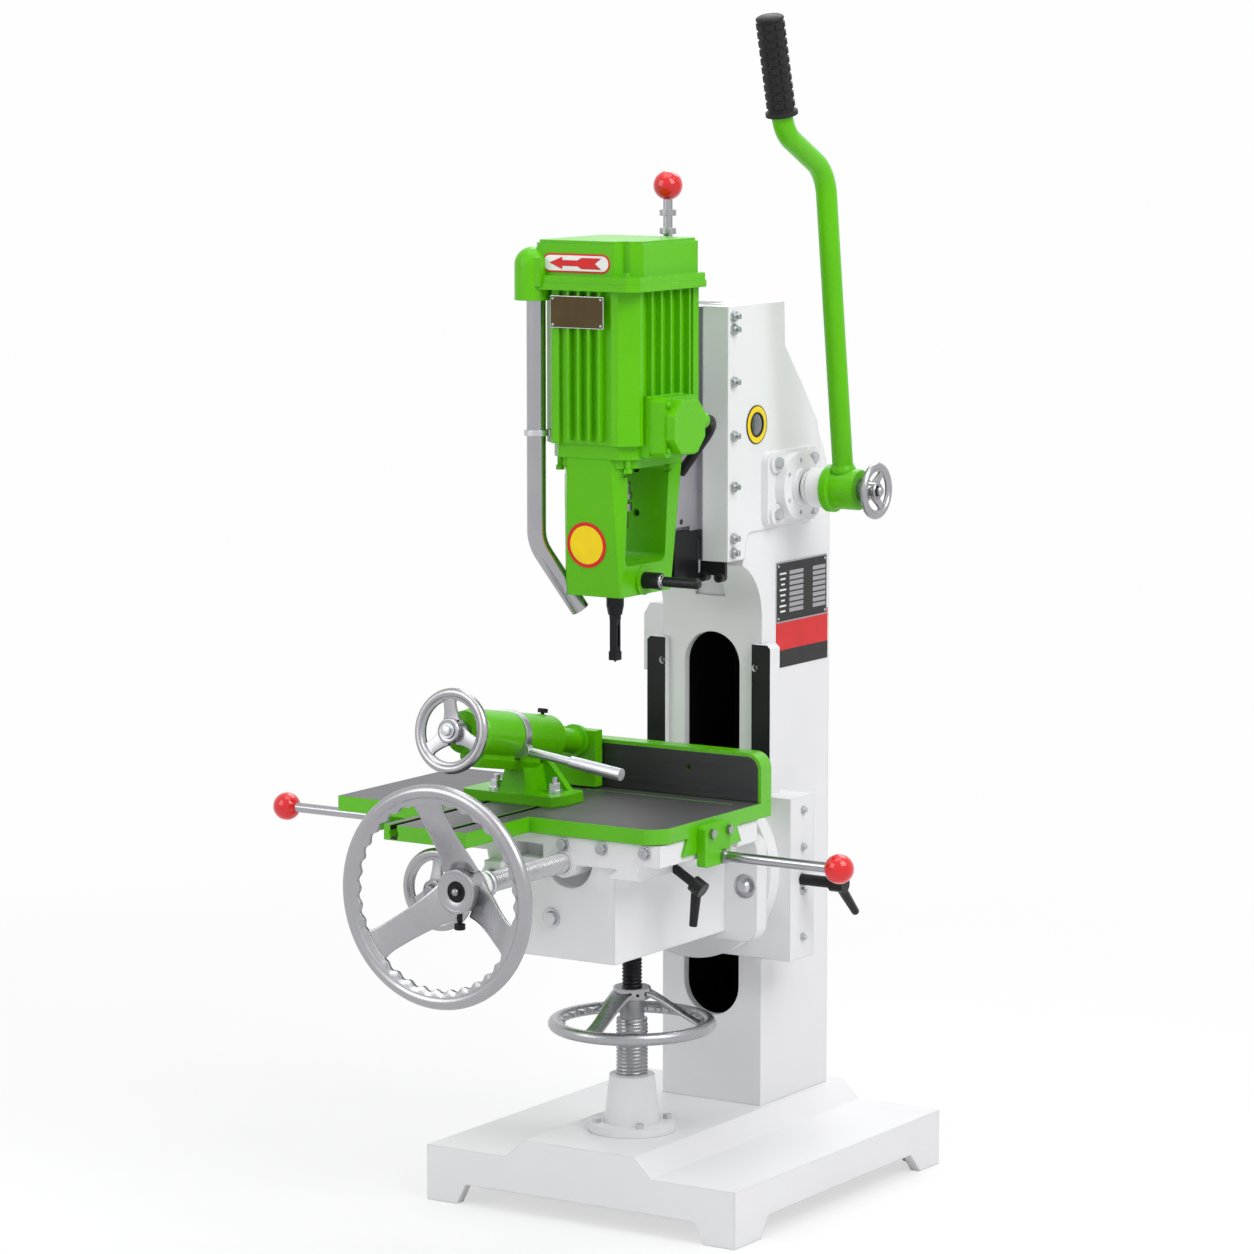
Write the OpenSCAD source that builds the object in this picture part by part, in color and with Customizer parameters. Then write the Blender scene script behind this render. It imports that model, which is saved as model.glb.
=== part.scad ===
// Floor-standing square-chisel mortiser with a rack-fed head, a tilting knee and a cross table.
// Lengths are millimetres. X points to the machine's right, Y to its back and Z up.
// Sub-parts are drawn from the spindle's upright plane (X = 0); place() then centres the machine
// on its own footprint, with the floor at Z = 0.

/* [Base] */
// Width of the cast base
base_w = 500; // [400:10:600]
// Front end of the base, forward of the column origin
base_front = -270; // [-330:5:-220]
// Rear end of the base
base_back = 291; // [240:1:340]
// Height of the base's flat shoulders
base_h = 78; // [60:1:100]
// Height of the raised plinth under the column
plinth_h = 105; // [90:1:130]
// Wall of the base casting
base_wall = 15; // [10:1:20]

/* [Column] */
// Width of the column and of the upper housing
column_w = 162; // [140:2:200]
// Front face of the column's lower part
column_y = 75; // [60:1:90]
// Rear face of the column
column_back = 260; // [230:1:300]
// Wall of the hollow column
column_wall = 12; // [8:1:16]
// Width of the arched opening in the column's front
arch_w = 90; // [60:2:100]
// Top of the arched opening
arch_top = 775; // [700:1:800]
// Bottom of the arched opening
arch_low = 228; // [180:1:300]
// Front face of the upper housing
housing_y = -22; // [-40:1:0]
// Lower end of the upper housing
housing_low = 887; // [860:1:920]
// Top of the upper housing
housing_top = 1237; // [1200:1:1280]

/* [Ways for the knee] */
// Distance from the centre to the inner edge of each way bar
way_in = 71; // [50:1:80]
// Width of each way bar
way_w = 30; // [25:1:45]
// Lower end of the way bars
way_low = 320; // [260:1:360]
// Upper end of the way bars
way_top = 763; // [700:1:800]

/* [Head feed] */
// Axis of the feed pinion, back from the origin
pinion_y = 135; // [120:1:150]
// Height of the feed pinion's axis
pinion_z = 980; // [950:1:1010]
// Tooth size (module) of the feed rack and pinion
feed_module = 6; // [5:0.5:7]
// Number of teeth on the feed pinion
feed_teeth = 24; // [20:1:28]
// Centre of the lever hub on the shaft
hub_x = 177; // [160:1:190]
// Lean of the feed lever's tube from upright
lever_lean = 7.4; // [0:0.1:20]
// Diameter of the feed lever's tube
lever_d = 29; // [24:1:38]

/* [Head] */
// Spindle axis, forward of the origin
spindle_y = -176; // [-200:1:-150]
// Half width of the head slide
slide_half = 37; // [30:1:45]
// Front face of the head slide
slide_front = -89; // [-100:1:-80]
// Bottom of the head slide
slide_low = 930; // [900:1:960]
// Top of the head slide
slide_top = 1236; // [1200:1:1260]
// Lower end of the head casting
yoke_low = 856.5; // [840:0.5:880]
// Upper end of the head casting, where the motor sits
yoke_top = 1043; // [1020:1:1060]

/* [Motor] */
// Half width of the finned motor frame
motor_half = 78; // [70:1:90]
// Top of the finned motor frame
motor_top = 1268; // [1240:1:1290]
// Top of the fan cover
cover_top = 1334; // [1310:1:1350]
// Diameter of the blow pipe
pipe_d = 26; // [20:1:32]

/* [Chisel] */
// Side of the hollow square chisel at its cutting end
chisel_side = 12.7; // [9:0.1:25]
// Height of the chisel's tip with the head up
chisel_tip = 764; // [740:1:790]

/* [Knee] */
// Height of the tilt axis of the knee
tilt_z = 450; // [430:1:470]
// Half width of the knee casting
knee_half = 73; // [60:1:90]
// Front face of the knee casting
knee_front = -290; // [-310:1:-270]
// Lower edge of the knee casting
knee_low = 370; // [350:1:390]
// Top of the knee's dovetail way
knee_top = 503; // [490:1:520]
// Radius of the swivel disc
swivel_r = 130; // [110:1:140]

/* [Lift] */
// Axis of the lift screw, forward of the origin
lift_y = -133.5; // [-150:0.5:-120]
// Outer radius of the lift handwheel
lift_wheel_r = 116; // [100:1:130]

/* [Saddle and table] */
// Half width of the saddle
saddle_half = 153; // [130:1:170]
// Top of the saddle
saddle_top = 541; // [530:1:550]
// Underside of the table plate
table_under = 542.4; // [535:0.1:550]
// Top of the table
table_top = 563.4; // [555:0.1:575]
// Left end of the table
table_left = -367; // [-400:1:-330]
// Right end of the table
table_right = 157; // [140:1:180]
// Front edge of the table
table_front = -312; // [-330:1:-290]
// Front edge of the slotted extension
extension_front = -462; // [-500:1:-420]
// Top of the fence
fence_top = 631; // [600:1:660]
// Tooth size (module) of the table's rack and pinion
table_module = 3; // [2:0.5:4]
// Number of teeth on the table pinion
table_teeth = 18; // [17:1:20]
// Outer radius of the large cross-feed handwheel
cross_wheel_r = 147; // [120:1:170]

/* [Vise] */
// Sideways place of the vise's axis
vise_x = -132; // [-150:1:-110]
// Downward slope of the vise's axis towards the fence
vise_slope = 10; // [0:1:20]
// Outer radius of the vise handwheel
vise_wheel_r = 58; // [45:1:70]

/* [Hidden] */
$fn = 48;
// Clearance between faces that slide on each other
run = 0.1;
// Smallest overlap that makes two shapes of one casting join
join = 1;

column_half = column_w / 2;
pad_x = column_half + 3;
way_y = 64 + run;
way_back = 90;
feed_r = feed_module * feed_teeth / 2;
rack_line_y = pinion_y - feed_r;
dovetail_back = 22;
dovetail_half = 52;
gib_t = 6;
motor_seat = 1058;
cross_z = knee_top + 2;
table_pinion_x = -105;
table_pinion_z = 480;
table_pinion_y = [-128, -114];
table_rack_line = table_pinion_z + table_module * table_teeth / 2;
table_dovetail_z = 519;
vise_front = [vise_x, -90, 631];
vise_wheel_at = -290;
vise_ring_at = -153;
vise_barrel = [-262, -52];
screw_journal = [-214, -194];
swivel_front = 18.1;
plate_front = 44;
plate_back = 64;
plate_half = 147;
plate_low = 325;
plate_top = 554;
lift_nut_d = 34;
pipe_at = [-78, -250, 0];
pipe_bend_z = 944;
pipe_bend_r = 60;
pipe_bend = 33;
pipe_run = 92;
lobe_at = [-84, -250, 0];
lever_run = 410.8;
lever_bend_r = 60;
lever_bend = 55.9;
grip_bend_r = 50;
grip_bend = 48.9;
bend_gap = 67.8;
grip_len = 139;
auger_d = 7.4;

// The machine's outermost points, from the push rods' balls and the big wheel, centre it on X and Y
ball_r = 20;
left_ball_x = -562;
right_ball_x = 349;
wheel_front_y = -609.5;
shift_x = -(left_ball_x + right_ball_x) / 2;
shift_y = -(wheel_front_y + base_back) / 2;

green = [0.38, 0.75, 0.05];
casting_grey = [0.86, 0.86, 0.87];
black = [0.08, 0.08, 0.09];
ground_grey = [0.38, 0.37, 0.39];
polished = [0.78, 0.78, 0.8];
steel = [0.55, 0.55, 0.57];
red = [0.9, 0.05, 0.06];

function arc_points(centre, r, from, to, steps = 6) =
  [for (i = [0 : steps]) let (a = from + (to - from) * i / steps) centre + r * [cos(a), sin(a)]];

function rounded_rect(x, y, r) = concat(
  arc_points([x[1] - r, y[0] + r], r, -90, 0),
  arc_points([x[1] - r, y[1] - r], r, 0, 90),
  arc_points([x[0] + r, y[1] - r], r, 90, 180),
  arc_points([x[0] + r, y[0] + r], r, 180, 270)
);

function turned(p, a) = [p.x * cos(a) - p.y * sin(a), p.x * sin(a) + p.y * cos(a)];

// Moves the drawing origin so that the machine stands centred on X and Y
module place() {
  translate([shift_x, shift_y, 0]) children();
}

module at(places) {
  for (p = places) translate(p) children();
}

module both_sides() {
  children();
  mirror([1, 0, 0]) children();
}

// A block between two limits on each axis
module block(x, y, z) {
  translate([x[0], y[0], z[0]]) cube([x[1] - x[0], y[1] - y[0], z[1] - z[0]]);
}

// Round bars along each axis, between two limits
module rod_x(d, from, to) {
  translate([from, 0, 0]) rotate([0, 90, 0]) cylinder(h = to - from, d = d);
}

module rod_y(d, from, to) {
  translate([0, from, 0]) rotate([-90, 0, 0]) cylinder(h = to - from, d = d);
}

module rod_z(d, from, to) {
  translate([0, 0, from]) cylinder(h = to - from, d = d);
}

// Pushes a (Y, Z) outline along X
module along_x(from, to) {
  translate([from, 0, 0]) rotate([90, 0, 90]) linear_extrude(to - from) children();
}

// Pushes an (X, Z) outline along Y
module along_y(from, to) {
  translate([0, to, 0]) rotate([90, 0, 0]) linear_extrude(to - from) children();
}

// Pushes an (X, Y) outline along Z
module along_z(from, to) {
  translate([0, 0, from]) linear_extrude(to - from) children();
}

// A hexagon-head bolt whose head sits on Z = 0 and whose shank goes down
module hex_bolt(d, head_w, head_h, length) {
  cylinder(h = head_h, d = head_w, $fn = 6);
  translate([0, 0, -length]) cylinder(h = length + join / 2, d = d);
}

// A bar that runs along +Y to the origin, bends towards -X and runs on
module bent_bar(d, before, bend_r, angle, after) {
  rod_y(d, -before, 0);
  translate([-bend_r, 0, 0]) {
    rotate_extrude(angle = angle) translate([bend_r, 0]) circle(d = d);
    rotate([0, 0, angle]) translate([bend_r, 0, 0]) rod_y(d, 0, after);
  }
}

// Stations [x, y, heading] of a path in the XY plane. A leg is [straight run, bend radius, turn].
function path_stations(legs, p = [0, 0], heading = 90, k = 0) =
  k == len(legs) ? [[p.x, p.y, heading]] :
  let (leg = legs[k],
       q = p + leg[0] * [cos(heading), sin(heading)],
       side = sign(leg[2]),
       centre = q + leg[1] * side * [-sin(heading), cos(heading)],
       steps = ceil(abs(leg[2]) / 8),
       after = heading + leg[2],
       spot = function (h) centre + leg[1] * side * [sin(h), -cos(h)])
  concat(
    leg[0] > 0 ? [[p.x, p.y, heading]] : [],
    [for (i = [0 : steps - 1]) let (h = heading + leg[2] * i / steps) [spot(h).x, spot(h).y, h]],
    path_stations(legs, steps > 0 ? spot(after) : q, after, k + 1)
  );

// A round tube or rod swept along such a path, from the origin along +Y
module swept_rod(d, legs, sides = 24) {
  stations = path_stations(legs);
  last = len(stations) - 1;
  points = [for (s = stations, k = [0 : sides - 1])
    let (a = 360 * k / sides)
    [s[0] - d / 2 * cos(a) * sin(s[2]), s[1] + d / 2 * cos(a) * cos(s[2]), d / 2 * sin(a)]];
  walls = [for (i = [0 : last - 1], k = [0 : sides - 1])
    [i * sides + k, (i + 1) * sides + k, (i + 1) * sides + (k + 1) % sides, i * sides + (k + 1) % sides]];
  near_end = [for (k = [0 : sides - 1]) k];
  far_end = [for (k = [sides - 1 : -1 : 0]) last * sides + k];
  polyhedron(points, concat(walls, [near_end, far_end]), convexity = 6);
}

// Points of one involute flank, from the root to the tip, as (radius, angle) pairs
function involute_angle(r, base_r) = let (t = sqrt(max(0, pow(r / base_r, 2) - 1))) t * 180 / PI - atan(t);

function tooth_flank(pitch_r, base_r, root_r, tip_r, half_pitch_angle, steps = 4) =
  [for (i = [0 : steps])
    let (r = root_r + (tip_r - root_r) * i / steps,
         turn = half_pitch_angle + involute_angle(pitch_r, base_r) - involute_angle(max(r, base_r), base_r))
    [r, turn]];

// Outline of a spur gear with a tooth on the +Y side of its centre
function gear_outline(tooth_size, teeth, slack = 0.25) =
  let (pitch_r = tooth_size * teeth / 2,
       base_r = pitch_r * cos(20),
       half = 90 / teeth - slack / 2 / pitch_r * 180 / PI,
       flank = tooth_flank(pitch_r, base_r, pitch_r - 1.25 * tooth_size, pitch_r + 0.95 * tooth_size, half),
       last = len(flank) - 1)
  [for (k = [0 : teeth - 1], i = [0 : 2 * last + 1])
    let (rising = i <= last,
         p = rising ? flank[i] : flank[2 * last + 1 - i],
         a = 90 - k * 360 / teeth + (rising ? p[1] : -p[1]))
    p[0] * [cos(a), sin(a)]];

// Outline of a straight rack along +X, with its pitch line on Y = 0 and its teeth towards +Y.
// A gap is centred on X = 0.
function rack_outline(tooth_size, from, to, back, slack = 0.25) =
  let (pitch = PI * tooth_size,
       rise = 0.95 * tooth_size,
       fall = 1.25 * tooth_size,
       half = pitch / 4 - slack / 2,
       first = ceil(from / pitch),
       count = floor(to / pitch) - first)
  concat(
    [[to, back], [from, back], [from, -fall]],
    [for (k = [0 : count - 1],
          p = [[-half - fall * tan(20), -fall], [-half + rise * tan(20), rise],
               [half - rise * tan(20), rise], [half + fall * tan(20), -fall]])
      [(first + k + 0.5) * pitch + p[0], p[1]]],
    [[to, -fall]]
  );

// A dished three-spoke handwheel: the rim's plane is Z = 0, and the hub lies below it
module handwheel(rim_r, tube_d, hub_d, hub_z, bore_d, spoke_w, spoke_t, first_spoke, scallops) {
  mid_r = rim_r - tube_d / 2;
  web_r = mid_r - tube_d * 0.68;
  start_r = hub_d * 0.3;
  tilt = atan(-(hub_z[0] + hub_z[1]) / 2 / (mid_r - start_r));
  reach = (mid_r - start_r) / cos(tilt) - 1;
  difference() {
    union() {
      rotate_extrude($fn = 96) translate([mid_r, 0]) circle(d = tube_d);
      rotate_extrude($fn = 96) translate([web_r, -tube_d * 0.2]) square([mid_r - web_r, tube_d * 0.4]);
      rod_z(hub_d, hub_z[0], hub_z[1]);
      for (k = [0 : 2])
        rotate([0, 0, first_spoke + 120 * k])
          translate([start_r, 0, (hub_z[0] + hub_z[1]) / 2])
            rotate([0, -tilt, 0])
              translate([0, 0, -spoke_t / 2])
                linear_extrude(spoke_t)
                  polygon([[0, -spoke_w * 0.62], [reach * 0.45, -spoke_w / 2], [reach, -spoke_w * 0.55],
                           [reach, spoke_w * 0.55], [reach * 0.45, spoke_w / 2], [0, spoke_w * 0.62]]);
    }
    rod_z(bore_d, hub_z[0] - 1, hub_z[1] + 1);
    // finger scallops inside the rim, left out where a spoke meets it
    if (scallops > 0)
      for (k = [0 : scallops - 1])
        if (abs((k * 360 / scallops + 60) % 120 - 60) > 60 * spoke_w / mid_r)
          rotate([0, 0, first_spoke + k * 360 / scallops])
            translate([web_r - tube_d * 0.1, 0, -tube_d * 0.5])
              cylinder(h = tube_d, r = tube_d * 0.45, $fn = 24);
  }
}

// A lock lever: round hub along Z from Z = 0, with a tapered arm that drops away along -Y
module lock_arm(hub_d, hub_h, arm_len, root_d, tip_d) {
  rod_z(hub_d, 0, hub_h);
  translate([0, 0, hub_h / 2]) rotate([90, 0, 0]) cylinder(h = arm_len, d1 = root_d, d2 = tip_d);
  translate([0, -arm_len, hub_h / 2]) sphere(d = tip_d);
}

// Where screws and bolts go, so that the hole and the fastener share one place
gib_screw_z = [899, 919, 990, 1060, 1134, 1206, 1224];
gib_screw_at = [for (z = gib_screw_z) [0, -10, z]];
way_screw_at = [for (z = [370 : 120 : 730]) [way_in + 5.2, 0, z]];
flange_bolt_at = [for (y = [-48, 48], z = [-36, 36]) [0, pinion_y + y, pinion_z + z]];
pedestal_bolt_at = [for (a = [45 : 90 : 315]) [50 * cos(a), lift_y + 50 * sin(a), 0]];
motor_bolt_at = [for (x = [-54, 54], y = [-52, 52]) [x, spindle_y + y, 0]];
saddle_bolt_x = [0, 62, 130];
saddle_bolt_z = 530;
tilt_bolt_at = [[-105, 0, 436], [105, 0, 436]];
slide_screw_z = [355, 420, 483, 535];
bracket_bolt_at = [[0, -203, 545], [0, -160, 545]];
vise_bolt_at = [[-84, -198, 0], [-166, -218, 0]];
vise_foot_t = 14;

module base() {
  foot_w = 50;
  foot_slant = 15;
  foot_h = 29;
  plinth_top = 89;
  plinth_foot = 118;
  half = base_w / 2;
  front_outline = [
    [-half, 0], [-half + foot_w, 0], [-half + foot_w + foot_slant, foot_h],
    [half - foot_w - foot_slant, foot_h], [half - foot_w, 0], [half, 0],
    [half, base_h], [-half, base_h]
  ];
  side_outline = [
    [base_front, 0], [base_front + 68, 0], [base_front + 86, foot_h],
    [base_back - 82, foot_h], [base_back - 55, 0], [base_back, 0],
    [base_back, base_h], [base_front, base_h]
  ];
  color(casting_grey)
  difference() {
    union() {
      intersection() {
        along_y(base_front - 5, base_back + 5) polygon(front_outline);
        along_x(-half - 5, half + 5) polygon(side_outline);
      }
      along_y(base_front, base_back)
        polygon([[-plinth_foot, base_h - 8], [plinth_foot, base_h - 8], [plinth_foot, base_h],
                 [plinth_top, plinth_h], [-plinth_top, plinth_h], [-plinth_foot, base_h]]);
    }
    block([-half + base_wall, half - base_wall], [base_front + base_wall, base_back - base_wall],
          [-1, base_h - base_wall]);
    block([-plinth_top + base_wall, plinth_top - base_wall],
          [base_front + base_wall, base_back - base_wall], [-1, plinth_h - base_wall]);
    at(pedestal_bolt_at) rod_z(8.4, plinth_h - base_wall - 1, plinth_h + 1);
  }
}

// The round-ended opening in the column's front wall
module column_arch() {
  r = arch_w / 2;
  along_y(column_y - 5, column_y + column_wall + 5)
    polygon(concat(
      arc_points([0, arch_top - r], r, 0, 180, 20),
      arc_points([0, arch_low + r], r, 180, 360, 20)
    ));
}

module column() {
  side_outline = concat(
    [[column_y, plinth_h], [column_back, plinth_h], [column_back, 984], [245, 1019],
     [220, 1063], [178, 1117], [129, 1176], [127, housing_top], [housing_y, housing_top],
     [housing_y, housing_low], [24, housing_low]],
    arc_points([column_y - 83, 800], 83, 68, 0, 8)
  );
  pad_outline = concat(
    [[housing_y, housing_low], [24, housing_low]],
    arc_points([40, 911], 12, 180, 90, 5),
    [[200, 923], [232, 980], [220, 1063], [178, 1117], [129, 1176], [127, housing_top],
     [housing_y, housing_top]]
  );
  color(casting_grey)
  difference() {
    union() {
      along_x(-column_half, column_half) polygon(side_outline);
      along_x(column_half - join, pad_x) polygon(pad_outline);
    }
    // hollow of the lower column, open to the arch
    block([-column_half + column_wall, column_half - column_wall],
          [column_y + column_wall, column_back - column_wall], [plinth_h - 1, 820]);
    column_arch();
    // dovetail channel for the head slide, with room for the gib on the right
    along_z(housing_low - 10, housing_top + 1)
      polygon([[-slide_half - run, housing_y - 1], [slide_half + gib_t + 2 * run, housing_y - 1],
               [slide_half + gib_t + 2 * run, housing_y],
               [dovetail_half + gib_t + 2 * run, dovetail_back + run],
               [-dovetail_half - run, dovetail_back + run], [-slide_half - run, housing_y]]);
    block([-24, 24], [dovetail_back - 1, rack_line_y + 12], [housing_low - 60, housing_top + 1]);
    translate([0, pinion_y, pinion_z]) rod_x(2 * feed_r + 16, -24, 24);
    translate([0, pinion_y, pinion_z]) rod_x(30.2, -60, 0);
    translate([0, pinion_y, pinion_z]) rod_x(34.1, 0, pad_x + 1);
    // rebates for the way bars
    both_sides()
      block([way_in, column_half + 1], [column_y - 1, way_back + run], [way_low - run, way_top + run]);
    at(gib_screw_at) rod_x(8.2, 44, pad_x + 1);
    at(flange_bolt_at) rod_x(10.2, pad_x - 14, pad_x + 1);
    // screw holes for the ways
    both_sides() at(way_screw_at) rod_y(6.2, way_back - 1, way_back + 14);
    // recess of the sight glass
    translate([0, 53, 1071]) rod_x(26, pad_x - 4, pad_x + 1);
  }
}

module column_ways() {
  bevel = 5;
  color(black)
  both_sides()
  difference() {
    along_y(way_y, way_back)
      polygon([[way_in, way_low], [way_in + way_w, way_low], [way_in + way_w, way_top - bevel],
               [way_in + way_w - bevel, way_top], [way_in, way_top]]);
    // countersunk holes for the bars' screws
    at(way_screw_at) {
      rod_y(6.2, way_y - 1, way_back + 1);
      rod_y(10, way_y - 1, way_y + 6);
    }
  }
}

module head_gib() {
  color(steel)
  along_z(housing_low + 1, housing_top - 1)
    polygon([[slide_half + run, housing_y], [slide_half + gib_t + run, housing_y],
             [dovetail_half + gib_t + run, dovetail_back], [dovetail_half + run, dovetail_back]]);
}

module gib_screws() {
  color(steel)
  at(gib_screw_at) {
    difference() {
      rod_x(8, 51, pad_x + 12);
      block([pad_x + 10, pad_x + 13], [-1, 1], [-5, 5]);
    }
    translate([pad_x, 0, 0]) rotate([0, 90, 0]) cylinder(h = 6, d = 15, $fn = 6);
  }
}

module pinion_flange() {
  plate_t = 10;
  ring_t = 14;
  color(casting_grey)
  translate([0, pinion_y, pinion_z])
  difference() {
    union() {
      along_x(pad_x, pad_x + plate_t) polygon(rounded_rect([-68, 68], [-51, 51], 13));
      // ears for the four bolts
      at([for (y = [-48, 48], z = [-36, 36]) [0, y, z]]) rod_x(30, pad_x + plate_t - join, pad_x + ring_t);
      rod_x(94, pad_x + plate_t - join, pad_x + plate_t + ring_t);
      rod_x(52, pad_x + plate_t + ring_t - join, pad_x + plate_t + ring_t + 7);
    }
    rod_x(34.1, pad_x - 1, pad_x + 40);
    at([for (y = [-48, 48], z = [-36, 36]) [0, y, z]]) rod_x(10.2, pad_x - 1, pad_x + 30);
    // small cap screws' sockets round the ring
    for (a = [0 : 60 : 300])
      rotate([a, 0, 0]) translate([0, 0, 36]) rod_x(6, pad_x + plate_t + ring_t - 4, pad_x + 40);
  }
}

module frame_bolts() {
  color(polished) {
    at(flange_bolt_at)
      translate([pad_x + 14, 0, 0]) rotate([0, 90, 0]) hex_bolt(10, 16, 7, 26);
    at(pedestal_bolt_at) translate([0, 0, plinth_h + 12]) hex_bolt(8, 13, 6, 24);
  }
}

module pinion_bush() {
  color(steel)
  translate([0, pinion_y, pinion_z])
  difference() {
    rod_x(30, -59.8, -25);
    rod_x(20.1, -61, -24);
  }
}

module switch_box() {
  depth = 43;
  color(casting_grey)
  translate([-column_half, 0, 0])
  difference() {
    along_y(92, 150)
      polygon([[0, 710], [-depth, 710], [-depth, 790], [-depth + 10, 806], [0, 806]]);
    at([[0, 121, 735], [0, 121, 772]]) rod_x(17, -depth - 1, -depth + 14);
  }
}

module push_button(z, face_d) {
  translate([-column_half, 121, z]) {
    rod_x(16.6, -48, -35.2);
    rod_x(face_d, -51, -48 + join / 2);
  }
}

module start_button() {
  color([0.1, 0.6, 0.2]) push_button(772, 20);
}

module stop_button() {
  color(red) push_button(735, 24);
}

module screw_pedestal() {
  color(casting_grey)
  translate([0, lift_y, 0])
  difference() {
    union() {
      rod_z(123, plinth_h, plinth_h + 12);
      translate([0, 0, plinth_h + 12 - join]) cylinder(h = 67, r1 = 39, r2 = 31);
    }
    rod_z(43, plinth_h + 20, 184);
    for (a = [45 : 90 : 315])
      rotate([0, 0, a]) translate([50, 0, 0]) rod_z(8.4, plinth_h - 1, plinth_h + 14);
  }
  // outer screw tube that stands in the pedestal
  color(black)
  translate([0, lift_y, 0])
  difference() {
    rod_z(41, plinth_h + 20.1, 262);
    rod_z(30, plinth_h + 26, 263);
  }
}

// Nut that turns with the lift wheel on top of the screw tube
module lift_nut() {
  color(steel)
  translate([0, lift_y, 0])
  difference() {
    rod_z(lift_nut_d, 262.1, 306);
    rod_z(28.2, 261, 307);
  }
}

module head_slide() {
  color(polished)
  difference() {
    union() {
      // front block and dovetail
      along_z(slide_low, slide_top)
        polygon([[-slide_half, slide_front], [slide_half, slide_front], [slide_half, housing_y],
                 [dovetail_half, dovetail_back], [-dovetail_half, dovetail_back],
                 [-slide_half, housing_y]]);
      // rack cut on the slide's back
      translate([0, rack_line_y, pinion_z])
        along_x(-20, 20)
          rotate(90) mirror([0, 1])
            polygon(rack_outline(feed_module, slide_low + 5 - pinion_z, 1190 - pinion_z,
                                 dovetail_back - join - rack_line_y));
    }
    // rounded relief along the lower front edges
    translate([0, slide_front - 1, slide_low - 1]) block([24, 40], [0, 46], [0, 8]);
    translate([0, -43, 0]) rod_z(13.06, 1100, slide_top + 1);
    translate([0, -66, 944]) rod_x(8.2, 20, 40);
    at([for (z = [960, 1020]) [0, 0, z]]) rod_y(10.2, slide_front - 1, slide_front + 22);
  }
}

module way_cover() {
  color(black)
  block([-slide_half, slide_half], [-84, housing_y - run], [862, slide_low - run]);
}

module stop_bar() {
  color(black)
  translate([0, housing_y, 0])
  difference() {
    union() {
      block([40, 80], [0, 6], [868, housing_low - 0.05]);
      at([[47, 0, 866], [73, 0, 866]]) rod_y(14, -7, 6);
    }
    at([[47, 0, 866], [73, 0, 866]]) rod_y(5, -8, -4);
  }
}

module head_casting() {
  plan = [[-54, -88.7], [54, -88.7], [54, -219], [34, -242], [-34, -242], [-54, -219]];
  color(green)
  difference() {
    union() {
      intersection() {
        along_y(-250, -80) polygon([[-44, yoke_low], [44, yoke_low], [53, yoke_top], [-53, yoke_top]]);
        along_x(-60, 60)
          polygon([[-231.6, yoke_low], [-105, yoke_low], [-90, yoke_top], [-241.6, yoke_top]]);
        along_z(yoke_low - 1, yoke_top + 1) polygon(plan);
      }
      // flange under the motor
      along_z(yoke_top - 12, yoke_top)
        polygon([[-62, -218], [-44, -236], [44, -236], [62, -218], [62, -112], [54, -104],
                 [-54, -104], [-62, -112]]);
      // pad bolted to the slide
      block([-30, 30], [-112, slide_front - 0.02], [940, yoke_top]);
      translate([0, spindle_y, 876]) rod_x(40, 30, 48);
    }
    // side windows
    along_x(-70, 70) polygon(rounded_rect([-223, -123], [898, 1030], 10));
    translate([0, spindle_y, 0]) rod_z(62, 1015, yoke_top + 1);
    translate([0, spindle_y, 0]) rod_z(24.04, yoke_low - 1, 900);
    translate([0, spindle_y, 876]) rod_x(10.2, 11, 49);
    at(motor_bolt_at) {
      rod_z(8.4, yoke_top - 13, yoke_top + 1);
      // spot face for the bolt's head
      rod_z(17, yoke_top - 24, yoke_top - 12);
    }
    at([for (z = [960, 1020]) [0, 0, z]]) rod_y(10.2, -124, slide_front + 1);
    // relief for the blow pipe across the lower left corner
    on_blow_pipe() rod_y(pipe_d + 1.2, 0, pipe_run + 10);
  }
}

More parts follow.
